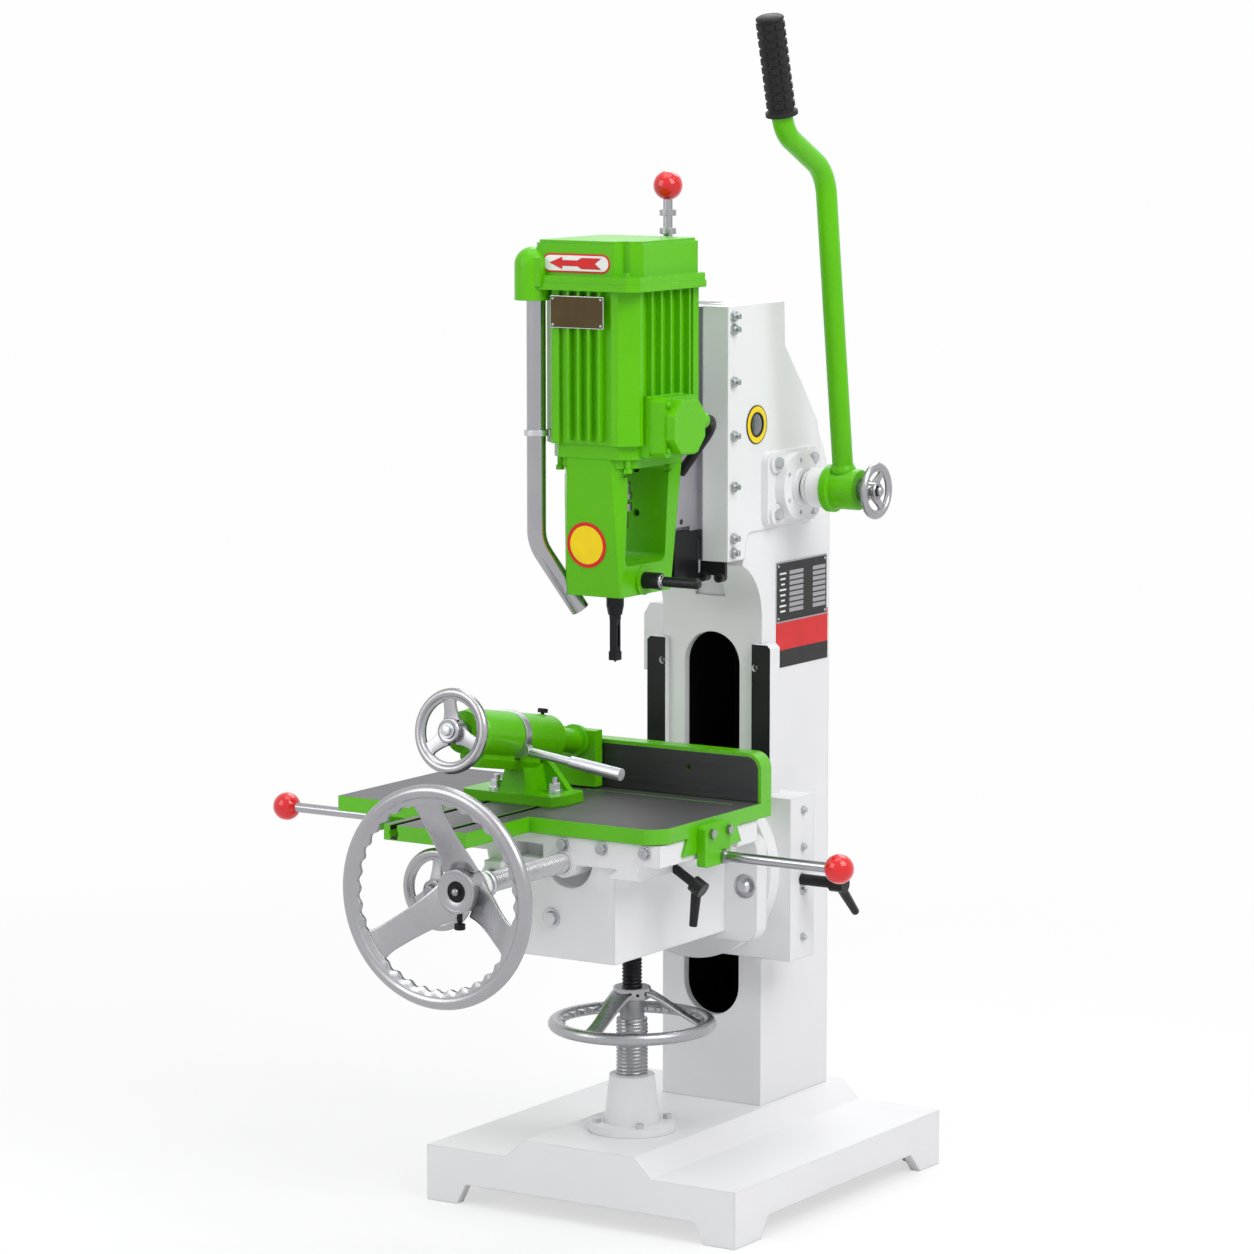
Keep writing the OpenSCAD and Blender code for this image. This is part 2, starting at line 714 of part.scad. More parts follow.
module motor_frame() {
  fin_low = 1068;
  fin_t = 4;
  root = motor_half - 9;
  face = motor_half - 4;
  half_plan = [
    [41, -face], [52, -face], [face, -54], [face, -45], [root, -45], [root, 80], [face, 80],
    [face, 94], [slide_half + 3, 94], [slide_half + 3, face]
  ];
  last = len(half_plan) - 1;
  color(green)
  difference() {
    union() {
      translate([0, spindle_y, 0]) {
        // core with plain corners, and cheeks that flank the slide
        along_z(motor_seat + 4, motor_top)
          polygon(concat(
            [[-41, -root], [41, -root]],
            half_plan,
            [for (i = [0 : last]) [-half_plan[last - i].x, half_plan[last - i].y]]
          ));
        // cooling fins on the front and on both sides
        along_z(fin_low, motor_top)
          for (i = [0 : 3]) translate([16.5 * (i - 1.5) - fin_t / 2, -motor_half]) square([fin_t, 12]);
        both_sides()
          along_z(fin_low, motor_top)
            for (i = [0 : 4]) translate([root - 3, 23.5 * i - 29 - fin_t / 2]) square([12, fin_t]);
        // lower flange
        along_z(yoke_top, motor_seat + 12)
          polygon([[-66, -48], [-48, -66], [48, -66], [66, -48], [66, 48], [48, 66], [-48, 66], [-66, 48]]);
      }
      // seat of the terminal box
      block([face - 12, 80], [-218, -132], [1046, 1128]);
    }
    // room for the rotor and its bearings
    translate([0, spindle_y, 0]) rod_z(82, 1090, 1246);
    translate([0, spindle_y, 0]) rod_z(24.1, yoke_top - 1, motor_top + 1);
    at(motor_bolt_at) rod_z(8.4, yoke_top - 1, yoke_top + 14);
    at([[0, -213, 1051], [0, -137, 1051], [0, -213, 1123], [0, -137, 1123]]) rod_x(4.2, 68, 81);
    // grooves for the blow pipe, its clip and the cover's lobe
    translate(pipe_at) {
      rod_z(pipe_d + 0.8, yoke_top - 1, motor_top + 1);
      rod_z(pipe_d + 7.4, 1070.8, 1079.2);
      rotate([0, 0, 45]) block([8, 24.2], [-8.2, 8.2], [1070.8, 1079.2]);
    }
    translate(lobe_at) rod_z(48.6, 1252.7, motor_top + 1);
  }
}

module motor_bolts() {
  color(black)
  at(motor_bolt_at)
    translate([0, 0, yoke_top - 12]) rotate([180, 0, 0]) hex_bolt(8, 13, 6, 22);
}

module fan_cover() {
  rim = 88;
  cap = motor_half;
  rim_back = rim + 17;
  cap_back = cap + 15;
  rim_outline = [
    [-rim, -rim + 14], [-rim + 14, -rim], [rim - 14, -rim], [rim, -rim + 14],
    [rim, rim_back - 14], [rim - 14, rim_back], [-rim + 14, rim_back], [-rim, rim_back - 14]
  ];
  cap_outline = [
    [-cap, -cap + 6], [-cap + 6, -cap], [cap - 30, -cap], [cap - 24, -cap + 16], [cap - 14, -cap + 16],
    [cap, -cap + 26], [cap, cap_back - 8], [cap - 8, cap_back], [-cap + 8, cap_back], [-cap, cap_back - 8]
  ];
  color(green)
  difference() {
    union() {
      translate([0, spindle_y, 0]) {
        along_z(motor_top, 1277.2) polygon(rim_outline);
        along_z(1277, 1287) polygon([for (p = rim_outline) p * 0.985]);
        along_z(1286, cover_top - 4) polygon(cap_outline);
        along_z(cover_top - 5, cover_top) polygon([for (p = cap_outline) p * 0.965]);
      }
      // outlet lobe for the blow pipe
      translate(lobe_at) {
        rod_z(48, 1253, 1300);
        translate([0, 0, 1300]) sphere(r = 24);
      }
      block([-84, -60], [-268, -214], [1272, 1310]);
    }
    translate([0, spindle_y, 0]) rod_z(136, motor_top + 6, cover_top - 6);
    translate([0, spindle_y, 0]) rod_z(24.1, motor_top - 1, motor_top + 7);
    translate(pipe_at) rod_z(pipe_d + 0.05, 1252, 1290);
  }
}

module terminal_box() {
  box_y = [-217, -133];
  box_z = [1047, 1127];
  color(green) {
    difference() {
      union() {
        along_x(80.02, 104) polygon([
          [box_y[0], box_z[0] + 6], [box_y[0] + 6, box_z[0]], [box_y[1] - 6, box_z[0]],
          [box_y[1], box_z[0] + 6], [box_y[1], box_z[1] - 6], [box_y[1] - 6, box_z[1]],
          [box_y[0] + 6, box_z[1]], [box_y[0], box_z[1] - 6]]);
        // lid with cut corners
        along_x(103, 118) polygon([
          [box_y[0] + 3, box_z[0] + 24], [box_y[0] + 22, box_z[0] + 4], [box_y[1] - 22, box_z[0] + 4],
          [box_y[1] - 3, box_z[0] + 24], [box_y[1] - 3, box_z[1] - 24], [box_y[1] - 22, box_z[1] - 4],
          [box_y[0] + 22, box_z[1] - 4], [box_y[0] + 3, box_z[1] - 24]]);
        // cable gland
        translate([97, 0, 1090]) {
          rod_y(29, box_y[1] - join, box_y[1] + 12);
          rod_y(23, box_y[1] + 11, box_y[1] + 25);
        }
      }
      translate([97, 0, 1090]) rod_y(14.1, box_y[1] - 12, box_y[1] + 26);
      block([82, 99], [box_y[0] + 5, box_y[1] - 14], [box_z[0] + 6, box_z[1] - 6]);
    }
  }
}

// The cable leaves the gland backwards, drops in one bend and enters the slide's side
module motor_cable() {
  color(black)
  difference() {
    translate([97, -100, 1090]) rotate([0, -52, 0]) bent_bar(14, 43, 34, 90, 72);
    block([0, slide_half + 0.05], [-100, -20], [950, 1060]);
  }
}

// The blow pipe's upper end of its bend, with -Y up along the pipe
module on_blow_pipe_top() {
  translate(pipe_at) rotate([0, 0, 225]) translate([0, 0, pipe_bend_z]) rotate([-90, 0, 0]) children();
}

// The blow pipe's lower run, with +Y down along the pipe
module on_blow_pipe() {
  on_blow_pipe_top()
    translate([-pipe_bend_r, 0, 0]) rotate([0, 0, pipe_bend]) translate([pipe_bend_r, 0, 0]) children();
}

module blow_pipe() {
  pipe_wall = 1.6;
  straight = 1288 - pipe_bend_z;
  color(polished) {
    on_blow_pipe_top()
      difference() {
        bent_bar(pipe_d, straight, pipe_bend_r, pipe_bend, pipe_run);
        bent_bar(pipe_d - 2 * pipe_wall, straight + 1, pipe_bend_r, pipe_bend, pipe_run + 2);
      }
    // clip on the motor's corner
    translate(pipe_at)
      difference() {
        union() {
          rod_z(pipe_d + 7, 1071, 1079);
          rotate([0, 0, 45]) block([8, 24], [-8, 8], [1071, 1079]);
        }
        rod_z(pipe_d + 0.1, 1070, 1080);
      }
  }
}

module chisel_bushing() {
  color(black)
  translate([0, spindle_y, 0])
  difference() {
    union() {
      rod_z(24, 838, 896);
      translate([0, 0, 826]) cylinder(h = 12.5, d1 = 19, d2 = 24);
    }
    rod_z(16.04, 825, 897);
  }
}

module hollow_chisel() {
  half = chisel_side / 2;
  shank = half - 1;
  color(black)
  translate([0, spindle_y, 0])
  difference() {
    union() {
      rod_z(16, 820, 885);
      block([-shank, shank], [-shank, shank], [chisel_tip + 11, 821]);
      block([-half, half], [-half, half], [chisel_tip, chisel_tip + 12]);
    }
    rod_z(8, chisel_tip - 1, 886);
    // ground bevel inside the cutting end
    translate([0, 0, chisel_tip - 0.5]) cylinder(h = 4, d1 = 12, d2 = 7);
    // chip slot on the right face
    along_x(2, half + 3) polygon(rounded_rect([-2.6, 2.6], [782, 812], 2.5));
  }
}

module rotor_shaft() {
  color(steel)
  translate([0, spindle_y, 0]) {
    rod_z(24, 1002, 1312);
    rod_z(78, 1094, 1242);
    // cooling fan inside the cover
    rod_z(40, 1300, 1308);
    for (a = [0 : 60 : 300]) rotate([0, 0, a]) block([10, 62], [-2, 2], [1282, 1318]);
  }
}

module coupling() {
  color(polished)
  translate([0, spindle_y, 0])
  difference() {
    union() {
      rod_z(42, 984, 1006);
      rod_z(46, 968, 978);
      rod_z(38, 977, 985);
      rod_z(46, 984, 992);
      rod_z(36, 944, 969);
    }
    rod_z(24.04, 1002, 1007);
    rod_z(auger_d + 0.04, 943, 990);
    translate([0, 0, 956]) rod_x(5.2, 3, 19);
  }
}

module auger_bit() {
  color(steel)
  translate([0, spindle_y, 0]) {
    rod_z(auger_d, chisel_tip + 1, 988);
    translate([0, 0, chisel_tip - 3]) cylinder(h = 4.5, d1 = 1.5, d2 = auger_d - 1);
  }
}

module feed_pinion() {
  color(steel)
  translate([0, pinion_y, pinion_z])
  difference() {
    along_x(-18, 18) rotate(90) polygon(gear_outline(feed_module, feed_teeth));
    rod_x(34.02, -19, 19);
  }
}

module pinion_shaft() {
  color(polished)
  translate([0, pinion_y, pinion_z])
  rotate([90, 0, 90])
  rotate_extrude()
    polygon([[0, -58], [10, -58], [10, -24], [17, -22], [17, 116], [17, 128], [27, 128], [27, 153],
             [15, 153], [15, 214], [7, 214], [7, 222], [0, 222]]);
}

module lever_hub_shape() {
  difference() {
    union() {
      rod_x(56.5, 153.2, 204);
      rod_x(66, 153.2, 165);
    }
    rod_x(30.04, 153, 205);
  }
}

// The lever's plane: Y runs up along the tube, and -X is towards the operator
module on_lever() {
  translate([hub_x, pinion_y, pinion_z]) rotate([lever_lean, 0, 0]) rotate([90, 0, 90]) children();
}

module lever_tube() {
  color(green) {
    translate([0, pinion_y, pinion_z]) lever_hub_shape();
    on_lever()
      translate([0, 24, 0])
        swept_rod(lever_d, [[lever_run - 24, lever_bend_r, lever_bend],
                            [bend_gap, grip_bend_r, -grip_bend], [grip_len - 10, 0, 0]]);
  }
}

module lever_grip() {
  end = path_stations([[lever_run, lever_bend_r, lever_bend], [bend_gap, grip_bend_r, -grip_bend]]);
  foot = end[len(end) - 1];
  color(black)
  on_lever()
    translate([foot.x, foot.y, 0]) rotate([0, 0, foot.z - 90]) rotate([-90, 0, 0])
      rotate_extrude()
        polygon(concat(
          [[0, grip_len - 7], [lever_d / 2 + 0.05, grip_len - 7], [lever_d / 2 + 0.05, 2],
           [22, 2], [22, 8]],
          [for (k = [0 : 11], p = [[19.5, 10], [18.3, 12], [18.3, 15], [19.5, 17]]) [p[0], p[1] + 9.5 * k]],
          [[19.5, grip_len - 6], [14, grip_len], [0, grip_len + 2]]
        ));
}

module lock_wheel() {
  color(polished)
  translate([228, pinion_y, pinion_z]) rotate([0, 90, 0])
    handwheel(39.5, 10, 24, [-14, 4], 14.1, 11, 5, 30, 0);
}

module chisel_clamp() {
  color(black)
  translate([0, spindle_y, 876]) {
    rod_x(10, 12.4, 50);
    rod_x(23, 48.3, 73);
    rod_x(14, 69, 132);
    translate([131.5, 0, 0]) rotate([0, 90, 0]) cylinder(h = 3.5, d1 = 14, d2 = 9);
  }
}

module stop_rod() {
  color(polished)
  translate([0, -43, 0]) {
    rod_z(13, 1180, 1384);
    rod_z(23, 1335, 1343);
    rod_z(23, 1360, 1368);
  }
}

// A ball knob whose bore comes in from below
module ball_knob(bore_d) {
  color(red)
  difference() {
    sphere(r = ball_r);
    rod_z(bore_d, -30, -13);
  }
}

module stop_ball() {
  translate([0, -43, 1401]) ball_knob(13.04);
}

// Curved slots round the tilt axis in which the knee's clamp bolts travel
module tilt_slots(half_w, y, spread) {
  bolt = tilt_bolt_at[1];
  r = norm([bolt.x, bolt.z - tilt_z]);
  lean = atan2(bolt.z - tilt_z, bolt.x);
  both_sides()
    translate([0, 0, tilt_z]) rotate([90, 0, 0]) rotate([0, 0, lean - spread])
      rotate_extrude(angle = 2 * spread)
        translate([r - half_w, -y[1]]) square([2 * half_w, y[1] - y[0]]);
}

module slide_plate() {
  color(casting_grey)
  difference() {
    union() {
      block([-plate_half, plate_half], [plate_front, plate_back], [plate_low, plate_top]);
      both_sides() {
        block([way_in + way_w + 2 * run, plate_half], [plate_back - join, 108], [plate_low, plate_top]);
        // keepers behind the way bars
        block([column_half + 4, way_in + way_w + 4], [way_back + 2 * run, 108], [plate_low, plate_top]);
      }
      // round seat of the swivel, cut level at its top
      intersection() {
        translate([0, 0, tilt_z]) rod_y(2 * swivel_r, swivel_front, plate_front + join);
        block([-swivel_r, swivel_r], [0, plate_front + join], [300, plate_top - 4]);
      }
      // arm that carries the lift screw, inside the hollow knee
      block([-30, 30], [lift_y - 26, swivel_front + join], [408, 438]);
      translate([0, lift_y, 0]) rod_z(60, 396, 446);
    }
    translate([0, lift_y, 0]) rod_z(28.06, 395, 440);
    both_sides() at([for (z = slide_screw_z) [0, 77, z]]) rod_x(6.2, way_in + way_w, plate_half + 1);
    tilt_slots(7.6, [swivel_front - 1, 31], 20);
    tilt_slots(11.5, [30, 42], 23);
    translate([0, 76, 437]) rod_x(16.1, 110, plate_half + 1);
  }
}

module slide_screws() {
  color(steel)
  both_sides()
  at([for (z = slide_screw_z) [0, 77, z]]) {
    rod_x(6, way_in + way_w + 2, plate_half + 7);
    translate([plate_half, 0, 0]) rotate([0, 90, 0]) cylinder(h = 4, d = 11, $fn = 6);
  }
}

module lift_screw() {
  color(black) translate([0, lift_y, 0]) rod_z(28, 185, 440);
}

module lift_wheel() {
  color(polished)
  translate([0, lift_y, 254]) rotate([180, 0, 0])
    handwheel(lift_wheel_r, 17, 52, [-52, -35.2], lift_nut_d + 0.04, 26, 6, 93, 24);
}

module knee_lock() {
  color(black)
  translate([0, 76, 437]) {
    rod_x(16, 112, plate_half + 50);
    translate([plate_half + 48, 0, 0]) rotate([-45, 0, 0]) rotate([0, 90, 0]) rotate([0, 0, 180])
      lock_arm(24, 22, 66, 15, 11);
  }
}

module knee() {
  wall = 15;
  dovetail = 10.5;
  rail = 18;
  front_outline = [
    [-knee_half, knee_low], [knee_half, knee_low], [knee_half, knee_top - 9],
    [knee_half + dovetail, knee_top - 1], [knee_half + dovetail, knee_top],
    [-knee_half - dovetail, knee_top], [-knee_half - dovetail, knee_top - 1],
    [-knee_half, knee_top - 9]
  ];
  color(casting_grey)
  difference() {
    union() {
      along_y(knee_front, 3) polygon(front_outline);
      // swivel flange
      along_y(-9, swivel_front - 0.1) polygon(rounded_rect([-125, 125], [358, 508], 22));
    }
    // hollow inside, open below and behind
    block([-knee_half + wall, knee_half - wall], [knee_front + wall, swivel_front + 1],
          [knee_low - 13, knee_top - rail]);
    // trough for the cross screw and its nut
    translate([0, 0, cross_z]) rod_y(74, knee_front - 1, screw_journal[0]);
    block([-37, 37], [knee_front - 1, screw_journal[0]], [cross_z, cross_z + 40]);
    // half bearing for the screw's rear end
    translate([0, 0, cross_z]) rod_y(18.1, screw_journal[0] - 1, screw_journal[1] + 1);
    at([for (p = tilt_bolt_at) [p.x, 0, p.z]]) rod_y(14.4, -10, 20);
    // pockets round the clamp bolts
    at([for (p = tilt_bolt_at) [p.x, 0, p.z]]) rod_y(34, -10, -1);
    translate([-28, 0, 424]) rod_y(10.2, knee_front - 1, knee_front + 16);
  }
}

module tilt_bolts() {
  color(polished) {
    at([for (p = tilt_bolt_at) [p.x, 0, p.z]]) {
      rod_y(14, -2, 32);
      rod_y(21, 31.5, 40);
      rod_y(20, -12, -1);
      translate([0, -12, 0]) rotate([90, 0, 0]) cylinder(h = 4, d1 = 20, d2 = 12);
    }
    translate([-28, knee_front, 424]) rotate([90, 0, 0]) hex_bolt(10, 20, 8, 14);
  }
}

module cross_screw() {
  color(polished)
  translate([0, 0, cross_z]) {
    rod_y(27, -548, screw_journal[0] - 1);
    rod_y(18, screw_journal[0] - 2, screw_journal[1]);
    // dial cone and ring nuts behind the wheel
    translate([0, -501, 0]) rotate([90, 0, 0]) cylinder(h = 22.9, d1 = 38, d2 = 50);
    rod_y(36, -502, -494);
    rod_y(33, -495, -492);
    rod_y(36, -493, -485);
  }
}

module cross_wheel() {
  first_spoke = 97;
  color(polished)
  translate([0, wheel_front_y + 9.5, cross_z]) rotate([90, 0, 0])
  difference() {
    handwheel(cross_wheel_r, 19, 59, [-76, -42], 27.04, 40, 9, first_spoke, 33);
    for (k = [0 : 2])
      rotate([0, 0, first_spoke + 120 * k]) translate([104, 0, -60]) cylinder(h = 60, d = 11);
  }
  // thumb screw that locks the wheel to the screw
  color(black)
  translate([0, -548, cross_z]) {
    rod_z(8, -48, -29);
    rod_z(15, -57, -47);
  }
}

// The saddle straddles the knee's dovetail and carries the table's dovetail
module saddle() {
  front = -305;
  back = -55;
  lug_out = 119;
  lug_low = 490;
  gap = 2 * run;
  outline = [
    [-saddle_half, knee_top + 8], [-lug_out - 4, knee_top + 8], [-lug_out, lug_low],
    [-knee_half - 3, lug_low], [-knee_half - 3, knee_top - 9 + 2], [-knee_half - 12 - gap, knee_top - 1],
    [-knee_half - 12 - gap, knee_top + run], [knee_half + 12 + gap, knee_top + run],
    [knee_half + 12 + gap, knee_top - 1], [knee_half + 3, knee_top - 9 + 2],
    [knee_half + 3, lug_low], [lug_out, lug_low], [lug_out + 4, knee_top + 8],
    [saddle_half, knee_top + 8], [saddle_half, saddle_top], [-saddle_half, saddle_top]
  ];
  color(casting_grey)
  difference() {
    union() {
      along_y(front, back) polygon(outline);
      // boss of the cross nut
      translate([0, 0, cross_z]) rod_y(42, front, -262);
      translate([0, 0, cross_z]) rod_y(34, front - 3, front + join);
      // bosses that carry the table pinion's shaft
      translate([table_pinion_x, 0, table_pinion_z]) {
        rod_y(34, front - 14, front + 20);
        rod_y(34, -100, -76);
      }
      at([for (y = [[front - 14, front + 20], [-100, -76]]) [table_pinion_x, y[0], 0]])
        block([-13, 13], [0, 24], [table_pinion_z, knee_top - 4]);
    }
    // channel of the table's dovetail
    along_x(-saddle_half - 1, saddle_half + 1)
      polygon([[-240 - gap, saddle_top + 1], [-240 - gap, table_under],
               [-252 - gap, table_dovetail_z - run], [-103 + gap, table_dovetail_z - run],
               [-115 + gap, table_under], [-115 + gap, saddle_top + 1]]);
    // slot for the table's rack, and room for its pinion
    block([-saddle_half - 1, saddle_half + 1], [-134, -108], [knee_top - join, table_dovetail_z]);
    translate([table_pinion_x, 0, table_pinion_z]) rod_y(66, -134, -108);
    translate([table_pinion_x, 0, table_pinion_z]) rod_y(16.1, front - 20, -70);
    translate([0, 0, cross_z]) rod_y(27.1, front - 20, -200);
    // room for the screw behind the cross nut
    translate([0, 0, cross_z]) rod_y(30, -262, -108);
    // window in the front, left of the screw
    block([-74, -32], [front - 1, front + 24], [knee_top + 4, knee_top + 24]);
    at([for (x = saddle_bolt_x) [x, 0, saddle_bolt_z]]) rod_y(8.2, front - 1, front + 22);
    translate([lug_out - 2, -215, 497]) rod_x(10.2, -22, 8);
  }
}

module saddle_bolts() {
  color(polished)
  at([for (x = saddle_bolt_x) [x, -305, saddle_bolt_z]]) rotate([90, 0, 0]) hex_bolt(8, 15, 7, 20);
}

module saddle_lock() {
  color(black)
  translate([117, -215, 497]) {
    rod_x(10, -18, 6);
    rotate([0, 30, 0]) {
      rod_x(13, 6, 40);
      translate([38, 0, 0]) rotate([0, 90, 0]) rotate([0, 0, 90]) lock_arm(23, 18, 3, 14, 14);
    }
    translate([38, 0, -26]) rotate([0, 6, 0]) mirror([0, 0, 1]) cylinder(h = 52, d1 = 15, d2 = 11);
  }
}

// Handwheel, shaft and pinion that move the table along its rack
module table_wheel() {
  color(polished)
  translate([table_pinion_x, -446, table_pinion_z]) rotate([90, 0, 0])
    handwheel(56, 13, 30, [-8, 16], 16.04, 16, 6, 90, 0);
  color(steel)
  translate([table_pinion_x, 0, table_pinion_z]) {
    rod_y(16, -470, -73);
    along_y(table_pinion_y[0], table_pinion_y[1]) polygon(gear_outline(table_module, table_teeth));
  }
}

module table_outline() {
  r = 30;
  polygon(concat(
    [[table_left, -25], [table_left, table_front], [-182, table_front], [-182, extension_front],
     [-50, extension_front], [-50, table_front]],
    arc_points([table_right - r, table_front + r], r, -90, 0, 8),
    [[table_right, -25]]
  ));
}

module table() {
  color(green)
  difference() {
    union() {
      along_z(table_under, table_top) table_outline();
      along_x(table_left, table_right)
        polygon([[-240, table_under + join], [-240, table_under], [-252, table_dovetail_z],
                 [-103, table_dovetail_z], [-115, table_under], [-115, table_under + join]]);
    }
    // keyhole slots for the vise bolts
    at([[-166, 0, 0], [-84, 0, 0]]) {
      block([-5.5, 5.5], [extension_front - 1, -150], [551, table_top + 1]);
      translate([0, 0, 551.5]) rod_y(15, extension_front - 1, -150);
    }
    // chip groove along the fence
    block([-109, 129], [-82, -79], [table_top - 2, table_top + 1]);
    // bolt holes of the fence, and of the rod brackets
    at([[-180, -39, 0], [140, -39, 0]]) rod_z(8.2, table_under - 1, table_top + 1);
    at(bracket_bolt_at) {
      translate([table_right - 16, 0, 0]) rod_x(6.2, 0, 20);
      translate([table_left - 4, 0, 0]) rod_x(6.2, 0, 20);
    }
  }
}

module table_rack() {
  color(steel)
  translate([table_pinion_x, 0, table_rack_line])
    along_y(table_pinion_y[0] - 2, table_pinion_y[1] + 2)
      mirror([0, 1])
        polygon(rack_outline(table_module, -235, 45, table_rack_line - table_dovetail_z));
}

module fence() {
  r = 22;
  face_edge = 5;
  color(green)
  difference() {
    along_y(-52, -25)
      polygon(concat(
        [[-200, table_top], [table_right, table_top]],
        arc_points([table_right - r, fence_top - r], r, 0, 90, 8),
        [[-200, fence_top]]
      ));
    at([[-180, -39, 0], [140, -39, 0]]) rod_z(8.2, table_top - 1, table_top + 14);
    translate([41, 0, 603]) rod_y(8.2, -60, -20);
  }
  // thin facing on the fence's front
  color(black)
  difference() {
    along_y(-54, -52.02)
      polygon(concat(
        [[-198, table_top + 1], [table_right - face_edge, table_top + 1]],
        arc_points([table_right - r, fence_top - r], r - face_edge, 0, 90, 8),
        [[-198, fence_top - face_edge]]
      ));
    translate([41, 0, 603]) rod_y(8.2, -60, -50);
  }
}

module rod_brackets() {
  thick = 13;
  bracket = rounded_rect([-218, -153], [500, 556], 6);
  color(green)
  for (x = [table_right, table_left - thick])
    difference() {
      along_x(x, x + thick) polygon(bracket);
      translate([x, -170, 510]) rod_x(14.1, -1, thick + 1);
      translate([x, 0, 0]) at(bracket_bolt_at) rod_x(6.2, -1, thick + 1);
    }
}

module push_rods() {
  color(polished) {
    translate([0, -170, 510]) {
      rod_x(14, table_right + 1, right_ball_x - 14);
      rod_x(20, table_right + 13, table_right + 19);
      rod_x(14, left_ball_x + 14, table_left - 1);
      rod_x(20, table_left - 19, table_left - 13);
    }
    // bracket bolts
    translate([table_right + 13, 0, 0]) at(bracket_bolt_at) rotate([0, 90, 0]) hex_bolt(6, 13, 6, 26);
    translate([table_left - 13, 0, 0]) at(bracket_bolt_at) rotate([0, -90, 0]) hex_bolt(6, 13, 6, 26);
  }
}

module rod_balls() {
  translate([right_ball_x, -170, 510]) rotate([0, 90, 0]) ball_knob(14.04);
  translate([left_ball_x, -170, 510]) rotate([0, -90, 0]) ball_knob(14.04);
}

// Local frame of the vise: Y runs along the ram towards the fence
module on_vise_axis() {
  translate(vise_front) rotate([-vise_slope, 0, 0]) children();
}

module vise_body() {
  seat = [-238, -160];
  color(green)
  difference() {
    union() {
      on_vise_axis() {
        rotate([-90, 0, 0])
          rotate_extrude($fn = 72)
            polygon([[0, vise_barrel[0]], [28, vise_barrel[0]], [29, vise_barrel[0] + 1], [29, -248],
                     [33, -242], [33, vise_barrel[1] - 6], [28, vise_barrel[1]], [0, vise_barrel[1]]]);
        // keel under the barrel
        along_y(-236, -96) polygon([[-19, 0], [-19, -34], [-13, -46], [13, -46], [19, -34], [19, 0]]);
      }
      // foot plate with its cut corners
      along_z(table_top, table_top + vise_foot_t)
        polygon([[-208, seat[0]], [-64, seat[0]], [-56, seat[0] + 24], [-56, seat[1] - 10],
                 [-66, seat[1]], [-200, seat[1]], [-212, seat[1] - 12], [-212, seat[0] + 10]]);
      // neck between the foot and the barrel
      intersection() {
        along_y(-236, -172)
          polygon([[-156, table_top + 4], [-108, table_top + 4], [vise_x + 15, 612], [vise_x - 15, 612]]);
        along_x(-200, -60) polygon([[-232, table_top], [-172, table_top], [-176, 640], [-222, 640]]);
      }
      // gusset rib on the right
      along_y(-178, -166)
        polygon([[vise_x, table_top + 4], [-66, table_top + 4], [vise_x + 18, 622], [vise_x, 630]]);
    }
    on_vise_axis() {
      rod_y(34.2, -150, 1);
      rod_y(20.2, -301, -149);
      // groove in which the lever's ring turns
      difference() {
        rod_y(73, vise_ring_at - 7, vise_ring_at + 7);
        rod_y(62, vise_ring_at - 8, vise_ring_at + 8);
      }
    }
    at(vise_bolt_at) rod_z(9.2, table_top - 1, table_top + vise_foot_t + 1);
  }
}

// T-bolts and nuts that hold the vise's foot in the two keyhole slots
module vise_bolts() {
  foot_top = table_top + vise_foot_t;
  color(polished)
  at(vise_bolt_at) {
    rod_z(9, 550, foot_top + 21);
    rod_z(12, 547.6, 554.4);
    rod_z(22, foot_top, foot_top + 4);
    translate([0, 0, foot_top + 3.5]) cylinder(h = 10, d = 17, $fn = 6);
  }
}

module vise_jaw() {
  color(green) {
    on_vise_axis() {
      rod_y(34, -140, 20);
      rod_y(46, 9, 19);
    }
    block([vise_x - 34, vise_x + 34], [-76, -57.5], [table_top + 2.6, 645]);
  }
}

module vise_wheel() {
  color(polished)
  on_vise_axis() {
    translate([0, vise_wheel_at, 0]) rotate([90, 0, 0])
      handwheel(vise_wheel_r, 13, 34, [-15, 9], 18.1, 20, 6, 100, 0);
    rod_y(18, vise_wheel_at - 7, -160);
    rod_y(28, vise_wheel_at + 14, vise_barrel[0] - 0.3);
  }
}

// The lever's ring turns in the barrel's groove; the arm leaves it at a round boss
module vise_lever() {
  color(polished)
  on_vise_axis()
    translate([0, vise_ring_at, 0])
      difference() {
        union() {
          rod_y(71, -6.6, 6.6);
          translate([31, 0, -18]) {
            rod_y(18, -6.6, 6.6);
            rotate([0, 7, 0]) {
              rod_x(12, 0, 80);
              rod_x(17, 76, 158);
            }
          }
        }
        rod_y(62.3, -9, 9);
      }
}

place() base();
place() column();
place() column_ways();
place() head_gib();
place() gib_screws();
place() pinion_flange();
place() frame_bolts();
place() pinion_bush();
place() switch_box();
place() start_button();
place() stop_button();
place() screw_pedestal();
place() head_slide();
place() way_cover();
place() stop_bar();
place() head_casting();
place() motor_frame();
place() motor_bolts();
place() fan_cover();
place() terminal_box();
place() motor_cable();
place() blow_pipe();
place() chisel_bushing();
place() hollow_chisel();
place() rotor_shaft();
place() coupling();
place() auger_bit();
place() feed_pinion();
place() pinion_shaft();
place() lever_tube();
place() lever_grip();
place() lock_wheel();
place() chisel_clamp();
place() stop_rod();
place() stop_ball();
place() slide_plate();
place() slide_screws();
place() lift_screw();
place() lift_nut();
place() lift_wheel();
place() knee_lock();
place() knee();
place() tilt_bolts();
place() cross_screw();
place() cross_wheel();
place() saddle();
place() saddle_bolts();
place() saddle_lock();
place() table_wheel();
place() table();
place() table_rack();
place() fence();
place() rod_brackets();
place() push_rods();
place() rod_balls();
place() vise_body();
place() vise_bolts();
place() vise_jaw();
